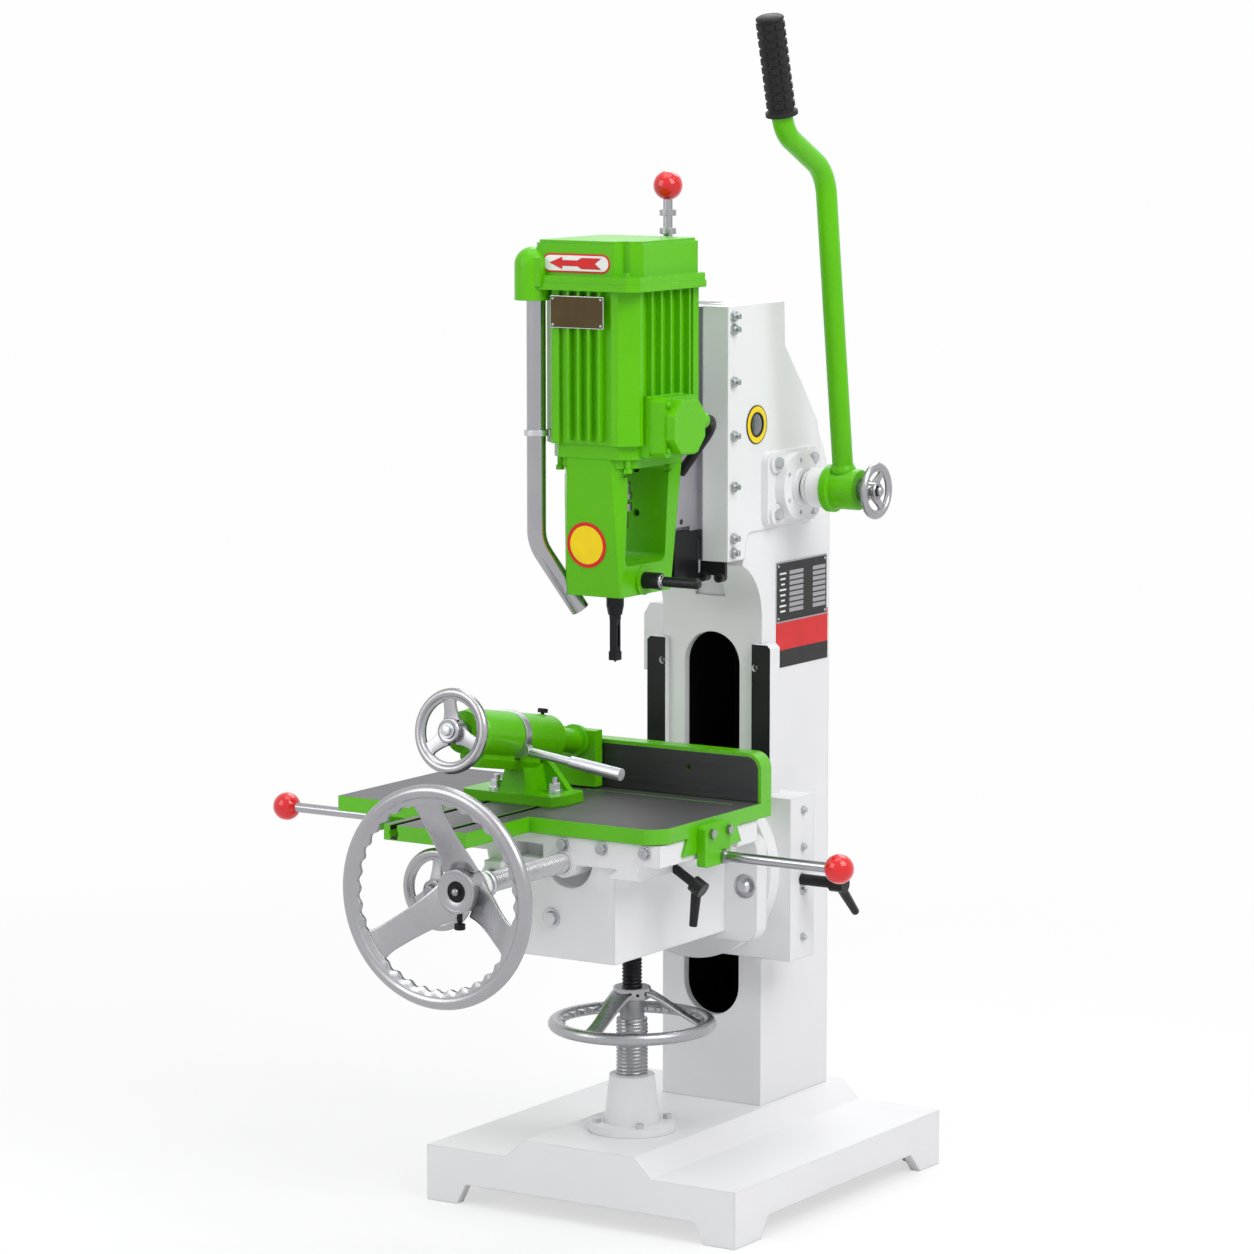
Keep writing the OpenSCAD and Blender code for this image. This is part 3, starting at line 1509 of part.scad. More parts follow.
place() vise_wheel();
place() vise_lever();
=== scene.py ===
import math

import bpy
from mathutils import Matrix, Vector


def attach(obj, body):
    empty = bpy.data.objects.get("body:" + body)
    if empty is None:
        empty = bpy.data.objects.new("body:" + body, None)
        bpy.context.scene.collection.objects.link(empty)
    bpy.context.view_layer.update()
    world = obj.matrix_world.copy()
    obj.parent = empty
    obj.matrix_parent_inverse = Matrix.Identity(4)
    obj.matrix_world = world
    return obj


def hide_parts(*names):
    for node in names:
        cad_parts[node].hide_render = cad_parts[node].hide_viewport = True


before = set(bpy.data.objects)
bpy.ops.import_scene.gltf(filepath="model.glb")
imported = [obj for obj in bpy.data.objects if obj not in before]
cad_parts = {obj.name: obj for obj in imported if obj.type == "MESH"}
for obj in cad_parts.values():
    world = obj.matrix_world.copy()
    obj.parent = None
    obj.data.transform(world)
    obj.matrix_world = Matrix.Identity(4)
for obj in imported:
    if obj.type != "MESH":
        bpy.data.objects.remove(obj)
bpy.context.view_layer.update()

# The CAD was drawn in millimetres from the spindle's plane and then centred on its footprint
SHIFT = Vector((0.1065, 0.15925, 0.0))
MM = 0.001

# Places that several pieces share, in machine millimetres
CROSS_Z = 505
LIFT_Y = -133.5
TABLE_SHAFT_X, TABLE_SHAFT_Z = -105, 480
FEED_Y, FEED_Z = 135, 980
SPINDLE_Y = -176
THREAD_PITCH = 5.0


def P(x, y, z):
    """A place in the frame, in metres, from machine millimetres."""
    return Vector((x, y, z)) * MM + SHIFT


def srgb(r, g, b):
    def linear(c):
        c /= 255
        return c / 12.92 if c <= 0.04045 else ((c + 0.055) / 1.055) ** 2.4
    return (linear(r), linear(g), linear(b), 1.0)


def shade(colour, k):
    """The colour made k times as bright."""
    return tuple(min(1.0, c * k) for c in colour[:3]) + (1.0,)


# Materials

class Nodes:
    """Shorthand for a material's node tree around one Principled shader."""

    def __init__(self, name):
        self.material = bpy.data.materials.new(name)
        self.material.use_nodes = True
        self.tree = self.material.node_tree
        self.tree.nodes.clear()
        out = self.tree.nodes.new("ShaderNodeOutputMaterial")
        self.shader = self.tree.nodes.new("ShaderNodeBsdfPrincipled")
        self.tree.links.new(self.shader.outputs[0], out.inputs[0])
        self.coord = self.tree.nodes.new("ShaderNodeTexCoord").outputs["Object"]

    def new(self, kind, inputs=(), out=0, **settings):
        node = self.tree.nodes.new(kind)
        for key, value in settings.items():
            setattr(node, key, value)
        for key, value in dict(inputs).items():
            if isinstance(value, bpy.types.NodeSocket):
                self.tree.links.new(value, node.inputs[key])
            else:
                node.inputs[key].default_value = value
        return node.outputs[out]

    def stretched(self, scale):
        return self.new("ShaderNodeMapping", {"Vector": self.coord, "Scale": scale})

    def noise(self, scale, detail=3.0, rough=0.5, vector=None):
        return self.new("ShaderNodeTexNoise", {"Vector": vector or self.coord, "Scale": scale,
                                               "Detail": detail, "Roughness": rough})

    def ramp(self, factor, stops):
        node = self.tree.nodes.new("ShaderNodeValToRGB")
        elements = node.color_ramp.elements
        while len(elements) < len(stops):
            elements.new(0.5)
        for element, (place, colour) in zip(elements, stops):
            element.position = place
            element.color = colour if hasattr(colour, "__len__") else (colour, colour, colour, 1)
        self.tree.links.new(factor, node.inputs[0])
        return node.outputs[0]

    def math(self, operation, a, b=0.0):
        return self.new("ShaderNodeMath", {0: a, 1: b}, operation=operation)

    def mix(self, factor, a, b):
        node = self.tree.nodes.new("ShaderNodeMix")
        node.data_type = "RGBA"
        for socket, value in ((node.inputs[0], factor), (node.inputs[6], a), (node.inputs[7], b)):
            if isinstance(value, bpy.types.NodeSocket):
                self.tree.links.new(value, socket)
            else:
                socket.default_value = value
        return node.outputs[2]

    def rounded(self, radius):
        return self.new("ShaderNodeBevel", {"Radius": radius}, samples=4)

    def bump(self, height, strength, distance, normal=None):
        inputs = {"Height": height, "Strength": strength, "Distance": distance}
        if normal is not None:
            inputs["Normal"] = normal
        return self.new("ShaderNodeBump", inputs)

    def part(self, axis, low=None, high=None, soft=0.0002):
        """1 where the object coordinate lies between low and high (metres)."""
        value = self.new("ShaderNodeSeparateXYZ", {0: self.coord}, out="XYZ".index(axis))
        mask = None
        for limit, sign in ((low, 1), (high, -1)):
            if limit is None:
                continue
            step = self.new("ShaderNodeMapRange", {0: value, 1: limit - soft, 2: limit + soft,
                                                   3: 0.0 if sign > 0 else 1.0, 4: 1.0 if sign > 0 else 0.0})
            mask = step if mask is None else self.math("MULTIPLY", mask, step)
        return mask

    def facing(self, axis, sign, least=0.7):
        """1 where the surface's own normal points along an axis."""
        normal = self.tree.nodes.new("ShaderNodeTexCoord").outputs["Normal"]
        value = self.new("ShaderNodeSeparateXYZ", {0: normal}, out="XYZ".index(axis))
        if sign < 0:
            value = self.math("MULTIPLY", value, -1.0)
        return self.math("GREATER_THAN", value, least)

    def set(self, **values):
        names = {"base": "Base Color", "rough": "Roughness", "metal": "Metallic", "normal": "Normal",
                 "coat": "Coat Weight", "coat_rough": "Coat Roughness", "specular": "Specular IOR Level"}
        for key, value in values.items():
            socket = self.shader.inputs[names[key]]
            if isinstance(value, bpy.types.NodeSocket):
                self.tree.links.new(value, socket)
            else:
                socket.default_value = value
        return self.material


def paint_look(n, colour, vary=0.05, rough=(0.24, 0.36), peel=0.05, cast=0.10, edge=0.0016):
    """Enamel over a casting: slow waviness, orange peel and slightly thin paint along edges."""
    broad = n.noise(5.0, 4.0)
    base = n.ramp(broad, [(0.3, shade(colour, 1 - vary)), (0.7, shade(colour, 1 + vary))])
    dust = n.ramp(n.noise(38.0, 6.0, 0.7), [(0.62, 0.0), (0.78, 0.10)])
    base = n.mix(dust, base, shade(colour, 0.72))
    roughness = n.ramp(n.noise(22.0, 5.0), [(0.3, rough[0]), (0.7, rough[1])])
    normal = n.rounded(edge)
    normal = n.bump(n.noise(34.0, 3.0), cast, 0.0016, normal)
    normal = n.bump(n.noise(620.0, 2.0), peel, 0.0003, normal)
    return base, roughness, normal


PAINT_GLOSS = dict(coat_rough=0.12, specular=0.2)


def paint(name, colour, coat=0.08, **look):
    n = Nodes(name)
    base, roughness, normal = paint_look(n, colour, **look)
    return n.set(base=base, rough=roughness, normal=normal, coat=coat, **PAINT_GLOSS)


def metal(name, colour, rough=(0.16, 0.30), vary=0.05, brush=None, grain=0.03, edge=0.0008, worn=0.18):
    """Bare metal with fine machining marks; brush stretches the marks along an axis."""
    n = Nodes(name)
    vector = n.stretched(brush) if brush else None
    marks = n.noise(120.0 if brush else 90.0, 6.0, 0.65, vector)
    blotch = n.noise(14.0, 4.0)
    blotch = n.ramp(blotch, [(0.35, 0.0), (0.75, 1.0)])
    base = n.mix(blotch, shade(colour, 1 - vary), shade(colour, 1 + vary))
    base = n.mix(n.ramp(marks, [(0.55, 0.0), (0.8, worn)]), base, shade(colour, 0.7))
    roughness = n.ramp(marks, [(0.3, rough[0]), (0.7, rough[1])])
    normal = n.bump(marks, grain, 0.0004, n.rounded(edge))
    return n.set(base=base, rough=roughness, normal=normal, metal=1.0)


def plastic(name, colour, rough=(0.3, 0.45), peel=0.06, coat=0.0, edge=0.0008, vary=0.08, specular=0.3):
    n = Nodes(name)
    base = n.ramp(n.noise(25.0, 4.0), [(0.3, shade(colour, 1 - vary)), (0.7, shade(colour, 1 + vary))])
    roughness = n.ramp(n.noise(60.0, 4.0), [(0.3, rough[0]), (0.7, rough[1])])
    normal = n.bump(n.noise(500.0, 2.0), peel, 0.0003, n.rounded(edge))
    return n.set(base=base, rough=roughness, normal=normal, coat=coat, specular=specular)


GREEN = srgb(92, 186, 3)
WHITE = srgb(232, 232, 234)
BLACK = srgb(26, 26, 28)
TABLE_GREY = srgb(92, 90, 94)
WHITE_LOOK = dict(vary=0.015, rough=(0.32, 0.44), cast=0.14, edge=0.003)

green = paint("green enamel", GREEN)
white = paint("white enamel", WHITE, **WHITE_LOOK)
black = paint("black enamel", BLACK, vary=0.15, rough=(0.3, 0.45), coat=0.1)
black_oxide = metal("black oxide", srgb(44, 44, 47), rough=(0.3, 0.46), vary=0.2)
aluminium = metal("polished aluminium", srgb(166, 166, 170), rough=(0.24, 0.34), grain=0.008, worn=0.05)
steel = metal("turned steel", srgb(150, 150, 154), rough=(0.24, 0.38))
ground = metal("ground slide", srgb(196, 192, 200), rough=(0.34, 0.46), brush=(1.0, 1.0, 0.04))
chrome = metal("bright plating", srgb(166, 166, 171), rough=(0.12, 0.2), grain=0.008, worn=0.05)
zinc = metal("zinc plated bolts", srgb(196, 198, 202), rough=(0.3, 0.44), worn=0.1)
screw_steel = metal("feed screw", srgb(186, 186, 190), rough=(0.22, 0.34), worn=0.1)
rubber = plastic("black rubber", srgb(24, 24, 25), rough=(0.5, 0.66), peel=0.15)
cable_black = plastic("cable sheath", srgb(20, 20, 22), rough=(0.4, 0.52))
red_ball = plastic("red ball", srgb(222, 16, 26), rough=(0.12, 0.2), peel=0.01, coat=0.6, vary=0.03)
green_button = plastic("green button", srgb(20, 140, 50), rough=(0.25, 0.35))
red_button = plastic("red button", srgb(200, 20, 24), rough=(0.25, 0.35))
brass = metal("bronze plate", srgb(78, 66, 46), rough=(0.4, 0.54), vary=0.14, brush=(1.0, 1.0, 0.1))
plate_black = plastic("black plate", srgb(22, 22, 24), rough=(0.32, 0.42), peel=0.02)
plate_red = plastic("red plate", srgb(214, 26, 30), rough=(0.28, 0.38), peel=0.02)
plate_white = plastic("white plate", srgb(238, 238, 236), rough=(0.3, 0.4), peel=0.02)
plate_yellow = plastic("yellow plate", srgb(244, 214, 10), rough=(0.3, 0.4), peel=0.02)


def glass_look():
    n = Nodes("sight glass")
    tint = n.ramp(n.noise(60.0, 3.0), [(0.3, srgb(58, 62, 68)), (0.7, srgb(86, 91, 98))])
    return n.set(base=tint, rough=0.06, coat=0.8, coat_rough=0.03)


sight_glass = glass_look()


def table_look():
    """Green sides under a ground top; the slots' walls below the top are coloured near-black as painted
    shade.
    """
    n = Nodes("table")
    base, roughness, normal = paint_look(n, GREEN)
    top, slot_floor = 0.5634, 0.5435
    slot_half, slot_end = 0.0057, 0.0095
    mask = n.math("MULTIPLY", n.part("Z", low=top - 0.0012), n.facing("Z", 1))
    streaks = n.noise(9.0, 8.0, 0.6, n.stretched((1.0, 26.0, 1.0)))
    bare = n.ramp(streaks, [(0.3, shade(TABLE_GREY, 0.86)), (0.7, shade(TABLE_GREY, 1.14))])
    slot = None
    for x in (-0.0595, 0.0225):
        here = n.math("MULTIPLY", n.part("X", low=x - slot_half, high=x + slot_half),
                      n.part("Y", high=slot_end))
        slot = here if slot is None else n.math("MAXIMUM", slot, here)
    # painted shade: the slots' walls between their floor and the top are coloured near-black
    painted_slot_shade = n.math("MULTIPLY", slot, n.part("Z", low=slot_floor, high=top - 0.0008))
    colour = n.mix(mask, base, bare)
    colour = n.mix(painted_slot_shade, colour, srgb(24, 24, 26))
    roughness = n.mix(mask, roughness, n.ramp(streaks, [(0.3, 0.36), (0.7, 0.52)]))
    return n.set(base=colour, rough=roughness, metal=n.math("MULTIPLY", mask, 0.55), normal=normal)


def fence_look():
    """Green, with a dark face towards the work."""
    n = Nodes("fence")
    base, roughness, normal = paint_look(n, GREEN)
    face_y, thin = -0.0520, 0.00001
    mask = n.part("Y", high=face_y + SHIFT.y - thin, soft=thin)
    dark = n.ramp(n.noise(9.0, 8.0, 0.6, n.stretched((1.0, 1.0, 20.0))),
                  [(0.3, srgb(36, 36, 38)), (0.7, srgb(52, 52, 55))])
    roughness = n.mix(mask, roughness, (0.42, 0.42, 0.42, 1))
    return n.set(base=n.mix(mask, base, dark), rough=roughness, normal=normal)


def ways_look():
    """Bars with a black front; their sides and ends are white like the column."""
    n = Nodes("knee ways")
    base, roughness, normal = paint_look(n, WHITE, vary=0.015, rough=(0.32, 0.44), cast=0.05, edge=0.001)
    dark = n.ramp(n.noise(12.0, 6.0, 0.6), [(0.3, srgb(22, 22, 23)), (0.7, srgb(36, 36, 38))])
    base = n.mix(n.facing("Y", -1), base, dark)
    return n.set(base=base, rough=roughness, normal=normal, specular=0.2)


def column_look():
    """White outside; the hollow's walls are coloured near-black as painted shade."""
    n = Nodes("column")
    base, roughness, normal = paint_look(n, WHITE, **WHITE_LOOK)
    half, front, back, top = 0.0692, 0.0868, 0.2482, 0.8203
    hollow = n.math("MULTIPLY", n.part("X", low=SHIFT.x - half, high=SHIFT.x + half),
                    n.part("Y", low=SHIFT.y + front, high=SHIFT.y + back))
    hollow = n.math("MULTIPLY", hollow, n.part("Z", high=top))
    # painted shade: the hollow's walls behind the arch are coloured near-black
    hollow_shade = n.ramp(n.noise(40.0, 5.0), [(0.3, srgb(20, 20, 21)), (0.7, srgb(34, 34, 35))])
    base = n.mix(hollow, base, hollow_shade)
    return n.set(base=base, rough=roughness, normal=normal, coat=0.08, **PAINT_GLOSS)


def dress(nodes, material):
    for name in nodes.split():
        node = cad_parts[name]
        node.data.materials.clear()
        node.data.materials.append(material)


dress("base pinion_flange screw_pedestal slide_plate knee saddle switch_box", white)
dress("column", column_look())
dress("head_casting motor_frame motor_bolts fan_cover terminal_box rod_brackets vise_body vise_jaw", green)
dress("column_ways", ways_look())
dress("way_cover stop_bar chisel_clamp knee_lock saddle_lock", black)
dress("hollow_chisel chisel_bushing", black_oxide)
dress("head_slide", ground)
dress("head_gib pinion_bush rotor_shaft coupling auger_bit", steel)
dress("feed_pinion table_rack pinion_shaft lift_nut", steel)
dress("frame_bolts gib_screws slide_screws tilt_bolts saddle_bolts vise_bolts vise_lever", zinc)
dress("stop_rod push_rods", chrome)
dress("stop_ball rod_balls", red_ball)
dress("start_button", green_button)
dress("stop_button", red_button)
dress("table", table_look())
dress("fence", fence_look())
dress("lever_grip", rubber)


# Geometry, in machine millimetres until it is placed

class Piece:
    """Collects shapes with one material each and makes them one object that rides on a body."""

    def __init__(self, name, body, slot, replaces=()):
        self.name, self.body, self.slot, self.replaced = name, body, slot, replaces
        self.verts, self.faces, self.index, self.materials = [], [], [], []

    def add(self, shape, material, place=None):
        verts, faces = shape
        start = len(self.verts)
        if material not in self.materials:
            self.materials.append(material)
        self.verts += [place @ Vector(v) if place else Vector(v) for v in verts]
        self.faces += [[start + i for i in f] for f in faces]
        self.index += [self.materials.index(material)] * len(faces)
        return self

    def done(self, sharp=30.0, bevel=0.0):
        data = bpy.data.meshes.new(self.name)
        data.from_pydata([P(*v) for v in self.verts], [], self.faces)
        for m in self.materials:
            data.materials.append(m)
        data.polygons.foreach_set("material_index", self.index)
        data.polygons.foreach_set("use_smooth", [True] * len(data.polygons))
        data.set_sharp_from_angle(angle=math.radians(sharp))
        data.update()
        piece = bpy.data.objects.new(self.name, data)
        bpy.context.scene.collection.objects.link(piece)
        if bevel:
            edge = piece.modifiers.new("edge", "BEVEL")
            edge.width, edge.segments = bevel * MM, 2
            edge.limit_method, edge.angle_limit = "ANGLE", math.radians(30)
            edge.harden_normals = True
        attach(piece, self.body)
        if self.replaced:
            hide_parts(*self.replaced)
        return piece


def turned_shape(profile, count=64):
    """Profile points are (radius, height) from the lower end; a zero radius closes it."""
    verts, rings = [], []
    for r, z in profile:
        if r <= 1e-6:
            rings.append([len(verts)])
            verts.append((0, 0, z))
        else:
            rings.append(list(range(len(verts), len(verts) + count)))
            verts += [(r * math.cos(2 * math.pi * k / count), r * math.sin(2 * math.pi * k / count), z)
                      for k in range(count)]
    faces = []
    for a, b in zip(rings, rings[1:]):
        for k in range(count):
            j = (k + 1) % count
            if len(a) == 1 and len(b) > 1:
                faces.append([a[0], b[j], b[k]])
            elif len(b) == 1 and len(a) > 1:
                faces.append([a[k], a[j], b[0]])
            elif len(a) > 1:
                faces.append([a[k], a[j], b[j], b[k]])
    return verts, faces


def closed_profile_shape(profile, count=96):
    """A ring: the profile's last point joins its first."""
    return turned_shape(list(profile) + [profile[0]], count)


def extruded_shape(outline, z0, z1):
    n = len(outline)
    verts = [(x, y, z0) for x, y in outline] + [(x, y, z1) for x, y in outline]
    faces = [[k, (k + 1) % n, n + (k + 1) % n, n + k] for k in range(n)]
    return verts, faces + [list(range(n))[::-1], list(range(n, 2 * n))]


def swept_shape(path, radius, count=40, wall=None):
    """A round bar or tube along a path of points; wall gives an open tube."""
    path = [Vector(p) for p in path]
    rings = []
    side = None
    for k, p in enumerate(path):
        ahead = (path[min(k + 1, len(path) - 1)] - path[max(k - 1, 0)]).normalized()
        if side is None:
            side = ahead.orthogonal().normalized()
        side = (side - ahead * side.dot(ahead)).normalized()
        up = ahead.cross(side)
        rings.append((p, side.copy(), up))
    verts, faces = [], []

    def skin(r, inward):
        start = len(verts)
        for p, s, u in rings:
            for k in range(count):
                a = 2 * math.pi * k / count
                verts.append(tuple(p + r * (math.cos(a) * s + math.sin(a) * u)))
        for i in range(len(rings) - 1):
            for k in range(count):
                j = (k + 1) % count
                f = [start + i * count + k, start + i * count + j, start + (i + 1) * count + j,
                     start + (i + 1) * count + k]
                faces.append(f[::-1] if inward else f)
        return start

    outer = skin(radius, False)
    last = (len(rings) - 1) * count
    if wall:
        inner = skin(radius - wall, True)
        for base in (0, last):
            for k in range(count):
                j = (k + 1) % count
                f = [outer + base + k, inner + base + k, inner + base + j, outer + base + j]
                faces.append(f if base == 0 else f[::-1])
    else:
        faces.append([outer + k for k in range(count)][::-1])
        faces.append([outer + last + k for k in range(count)])
    return verts, faces


def thread_shape(crest, root, pitch, z0, z1, count=40):
    """A screw thread with flat crests and roots, closed at both ends."""
    turns = (z1 - z0) / pitch
    shares = [(0.0, root), (0.16, root), (0.42, crest), (0.58, crest), (0.84, root)]
    verts, faces = [], []
    rows = int(math.ceil(turns)) * len(shares) + 2 * len(shares)
    for i in range(rows):
        turn, (share, r) = i // len(shares), shares[i % len(shares)]
        for k in range(count + 1):
            z = z0 + pitch * (turn + share + k / count - 1)
            end = min(1.0, max(0.0, (z - z0) / (0.5 * pitch)), max(0.0, (z1 - z) / (0.5 * pitch)))
            a = 2 * math.pi * k / count
            radius = root + (r - root) * end
            verts.append((radius * math.cos(a), radius * math.sin(a), min(z1, max(z0, z))))
    w = count + 1
    for i in range(rows - 1):
        for k in range(count):
            faces.append([i * w + k, i * w + k + 1, (i + 1) * w + k + 1, (i + 1) * w + k])
    return verts, faces


def hex_shape(width, height, base=0.0):
    """A hexagon head on Z = base, its upper corners cut back by the usual chamfer."""
    count, verts = 36, []
    apothem = width / 2 * math.cos(math.pi / 6)
    top_r = apothem * 0.94

    def reach(a):
        return apothem / math.cos((a + math.pi / 6) % (math.pi / 3) - math.pi / 6)

    for level in range(3):
        for k in range(count):
            a = 2 * math.pi * k / count
            r = reach(a)
            over = max(0.0, r - top_r) * 0.55
            if level == 2:
                r, over = top_r, 0.0
            z = base if level == 0 else base + height - over
            verts.append((r * math.cos(a), r * math.sin(a), z))
    faces = []
    for level in range(2):
        for k in range(count):
            j = (k + 1) % count
            low, high = level * count, (level + 1) * count
            faces.append([low + k, low + j, high + j, high + k])
    return verts, faces + [list(range(2 * count, 3 * count)), list(range(count))[::-1]]


def disc_shape(r, z0, z1, round_by=0.4, count=48):
    return turned_shape([(0, z0), (r - round_by, z0), (r, z0 + round_by), (r, z1 - round_by),
                         (r - round_by, z1), (0, z1)], count)


def washer_shape(r, bore, z0, z1):
    return closed_profile_shape([(bore, z0), (r, z0), (r, z1 - 0.3), (r - 0.3, z1), (bore, z1)], 48)


def ball_shape(r, count=32):
    profile = [(r * math.sin(math.pi * k / count), -r * math.cos(math.pi * k / count))
               for k in range(count + 1)]
    profile[0], profile[-1] = (0, -r), (0, r)
    return turned_shape(profile, 2 * count)


def frame_at(x, y, z, along="Z", turn=0.0):
    """A placement whose local Z points along the named axis."""
    turns = {"Z": Matrix.Identity(4), "-Z": Matrix.Rotation(math.pi, 4, "X"),
             "X": Matrix.Rotation(math.pi / 2, 4, "Y"), "-X": Matrix.Rotation(-math.pi / 2, 4, "Y"),
             "Y": Matrix.Rotation(-math.pi / 2, 4, "X"), "-Y": Matrix.Rotation(math.pi / 2, 4, "X")}
    return Matrix.Translation((x, y, z)) @ turns[along] @ Matrix.Rotation(math.radians(turn), 4, "Z")


def spoke_shape(start_r, end_r, z_start, z_end, w_start, w_end, t_start, t_end, dish, count=20):
    """One dished spoke along +X, flat in front, with rounded edges and a flare at both ends."""
    verts, faces = [], []
    quarter = [(0.5, 0.35), (0.492, 0.72), (0.47, 0.92), (0.43, 1.0)]
    half = quarter + [(-y, h) for y, h in quarter[::-1]]
    section = [(-y, -h) for y, h in half[::-1]] + half[::-1]
    for i in range(count + 1):
        s = i / count
        flare = (1 - s) ** 3 * 0.55 + max(0.0, s - 0.78) ** 2 * 5.0
        width = (w_start + (w_end - w_start) * s) * (1 + flare)
        thick = t_start + (t_end - t_start) * s
        ease = s * s * (3 - 2 * s)
        z = z_start + (z_end - z_start) * (s * (1 - dish) + ease * dish)
        for y, h in section:
            verts.append((start_r + (end_r - start_r) * s, y * width, z + h * thick / 2))
    m = len(section)
    for i in range(count):
        for k in range(m):
            j = (k + 1) % m
            faces.append([i * m + k, i * m + j, (i + 1) * m + j, (i + 1) * m + k])
    return verts, faces + [list(range(m)), list(range(count * m, count * m + m))[::-1]]


def rim_shape(rim_r, tube_d, spokes, scallops, count=240):
    """A round rim with an inner web whose edge is waved between the spokes."""
    mid = rim_r - tube_d / 2
    r = tube_d / 2
    verts, faces = [], []
    rows, half_arc = 22, 148
    for i in range(count):
        a = 2 * math.pi * i / count
        wave = 0.0
        if scallops:
            near = min(abs((math.degrees(a) - s + 180) % 360 - 180) for s in spokes)
            fade = min(1.0, max(0.0, (near - 9) / 5))
            wave = fade * (0.5 - 0.5 * math.cos(a * scallops))
        web = r * (0.55 if not scallops else 0.85) - wave * r * 0.45
        ring = []
        for k in range(rows):
            b = math.radians(-half_arc + 2 * half_arc * k / (rows - 1))
            ring.append((mid + r * math.cos(b), r * math.sin(b)))
        lip, inner = r * 0.42, mid - r * 0.95
        ring += [(inner - web * 0.55, lip), (inner - web, lip * 0.6),
                 (inner - web, -lip * 0.6), (inner - web * 0.55, -lip)]
        verts += [(x * math.cos(a), x * math.sin(a), z) for x, z in ring]
    m = rows + 4
    for i in range(count):
        for k in range(m):
            j, n = (k + 1) % m, (i + 1) % count
            faces.append([i * m + k, n * m + k, n * m + j, i * m + j])
    return verts, faces


def handwheel(piece, place, rim_r, tube_d, hub_d, hub_z, bore_d, spoke_w, spoke_t, first_spoke, scallops=0,
              material=aluminium):
    """A rim round the place's Z = 0, a hub from hub_z[0] to hub_z[1] and three spokes between them."""
    spokes = [first_spoke + 120 * k for k in range(3)]
    piece.add(rim_shape(rim_r, tube_d, spokes, scallops), material, place)
    r, z0, z1, b = hub_d / 2, hub_z[0], hub_z[1], bore_d / 2
    piece.add(closed_profile_shape([(b, z0), (r - 1, z0), (r, z0 + 1), (r, z1 - 1.6), (r - 1.2, z1 - 0.2),
                                    (r - 2.6, z1), (r * 0.86, z1), (r * 0.84, z1 - 0.6), (b + 1.5, z1 - 0.6),
                                    (b + 0.6, z1 - 1.2), (b, z1 - 2)], 96), material, place)
    end_r = rim_r - tube_d * 1.15
    for s in spokes:
        spin = place @ Matrix.Rotation(math.radians(s), 4, "Z")
        shape = spoke_shape(hub_d * 0.42, end_r, (z0 + z1) / 2, 0.0, spoke_w * 0.92, spoke_w, spoke_t,
                            spoke_t * 0.8, 0.35)
        piece.add(shape, material, spin)
    return piece


# Handwheels
wheel = Piece("cross_feed_wheel", "cross_screw", "polished_wheel", ["cross_wheel"])
wheel_place = frame_at(0, -600, CROSS_Z, "-Y")
handwheel(wheel, wheel_place, rim_r=147, tube_d=19, hub_d=59, hub_z=(-76, -42), bore_d=27.04, spoke_w=38,
          spoke_t=8, first_spoke=97, scallops=36)
wheel.add(disc_shape(13.4, -62, -44.5, 0.8), black_oxide, wheel_place)
wheel.add(ball_shape(5.5), steel, wheel_place @ Matrix.Translation((0, 0, -42.5)))
wheel.add(turned_shape([(0, -51), (6.6, -51), (7.4, -50), (7.4, -44), (6.6, -43), (3, -42.5), (3, -41),
                        (3.8, -40), (3.8, -20), (0, -20)]), black_oxide, frame_at(0, -548, CROSS_Z, "Z"))
wheel.done(34)

lift = Piece("lift_handwheel", "lift_wheel", "polished_wheel", ["lift_wheel"])
handwheel(lift, frame_at(0, LIFT_Y, 254, "-Z"), rim_r=116, tube_d=17, hub_d=52, hub_z=(-52, -35.2),
          bore_d=34.04, spoke_w=25, spoke_t=6, first_spoke=93, scallops=28)
# grease plug and set screw in the hub
for angle, r in ((-62, 3.6), (-40, 2.2)):
    spin = Matrix.Translation((0, LIFT_Y, 297.5)) @ Matrix.Rotation(math.radians(angle), 4, "Z")
    lift.add(disc_shape(r, 24.5, 26.8, 0.3), black_oxide, spin @ frame_at(0, 0, 0, "X"))
lift.done(34)

table_wheel = Piece("table_feed_wheel", "table_wheel", "polished_wheel", ["table_wheel"])
handwheel(table_wheel, frame_at(TABLE_SHAFT_X, -446, TABLE_SHAFT_Z, "-Y"), rim_r=56, tube_d=13, hub_d=30,
          hub_z=(-8, 16), bore_d=16.04, spoke_w=15, spoke_t=6, first_spoke=90)
table_shaft = frame_at(TABLE_SHAFT_X, 0, TABLE_SHAFT_Z, "Y")
table_wheel.add(turned_shape([(0, -470), (7, -470), (8, -469), (8, -73), (0, -73)]), steel, table_shaft)


def gear_outline(size, teeth, slack=0.25):
    """Involute teeth with a pressure angle of 20 degrees."""
    pitch_r = size * teeth / 2
    base_r = pitch_r * math.cos(math.radians(20))

    def involute(r):
        t = math.sqrt(max(0.0, (r / base_r) ** 2 - 1))
        return math.degrees(t) - math.degrees(math.atan(t))

    half = 90 / teeth - math.degrees(slack / 2 / pitch_r)
    root, tip = pitch_r - 1.25 * size, pitch_r + 0.95 * size
    flank, steps = [], 6
    for i in range(steps + 1):
        r = root + (tip - root) * i / steps
        flank.append((r, half + involute(pitch_r) - involute(max(r, base_r))))
    points = []
    for k in range(teeth):
        for r, a in flank + [(r, -a) for r, a in flank[::-1]]:
            b = math.radians(90 - k * 360 / teeth + a)
            points.append((r * math.cos(b), r * math.sin(b)))
    return points


table_wheel.add(extruded_shape([(x, -y) for x, y in gear_outline(3, 18)], -128, -114), steel, table_shaft)
table_wheel.done(34)

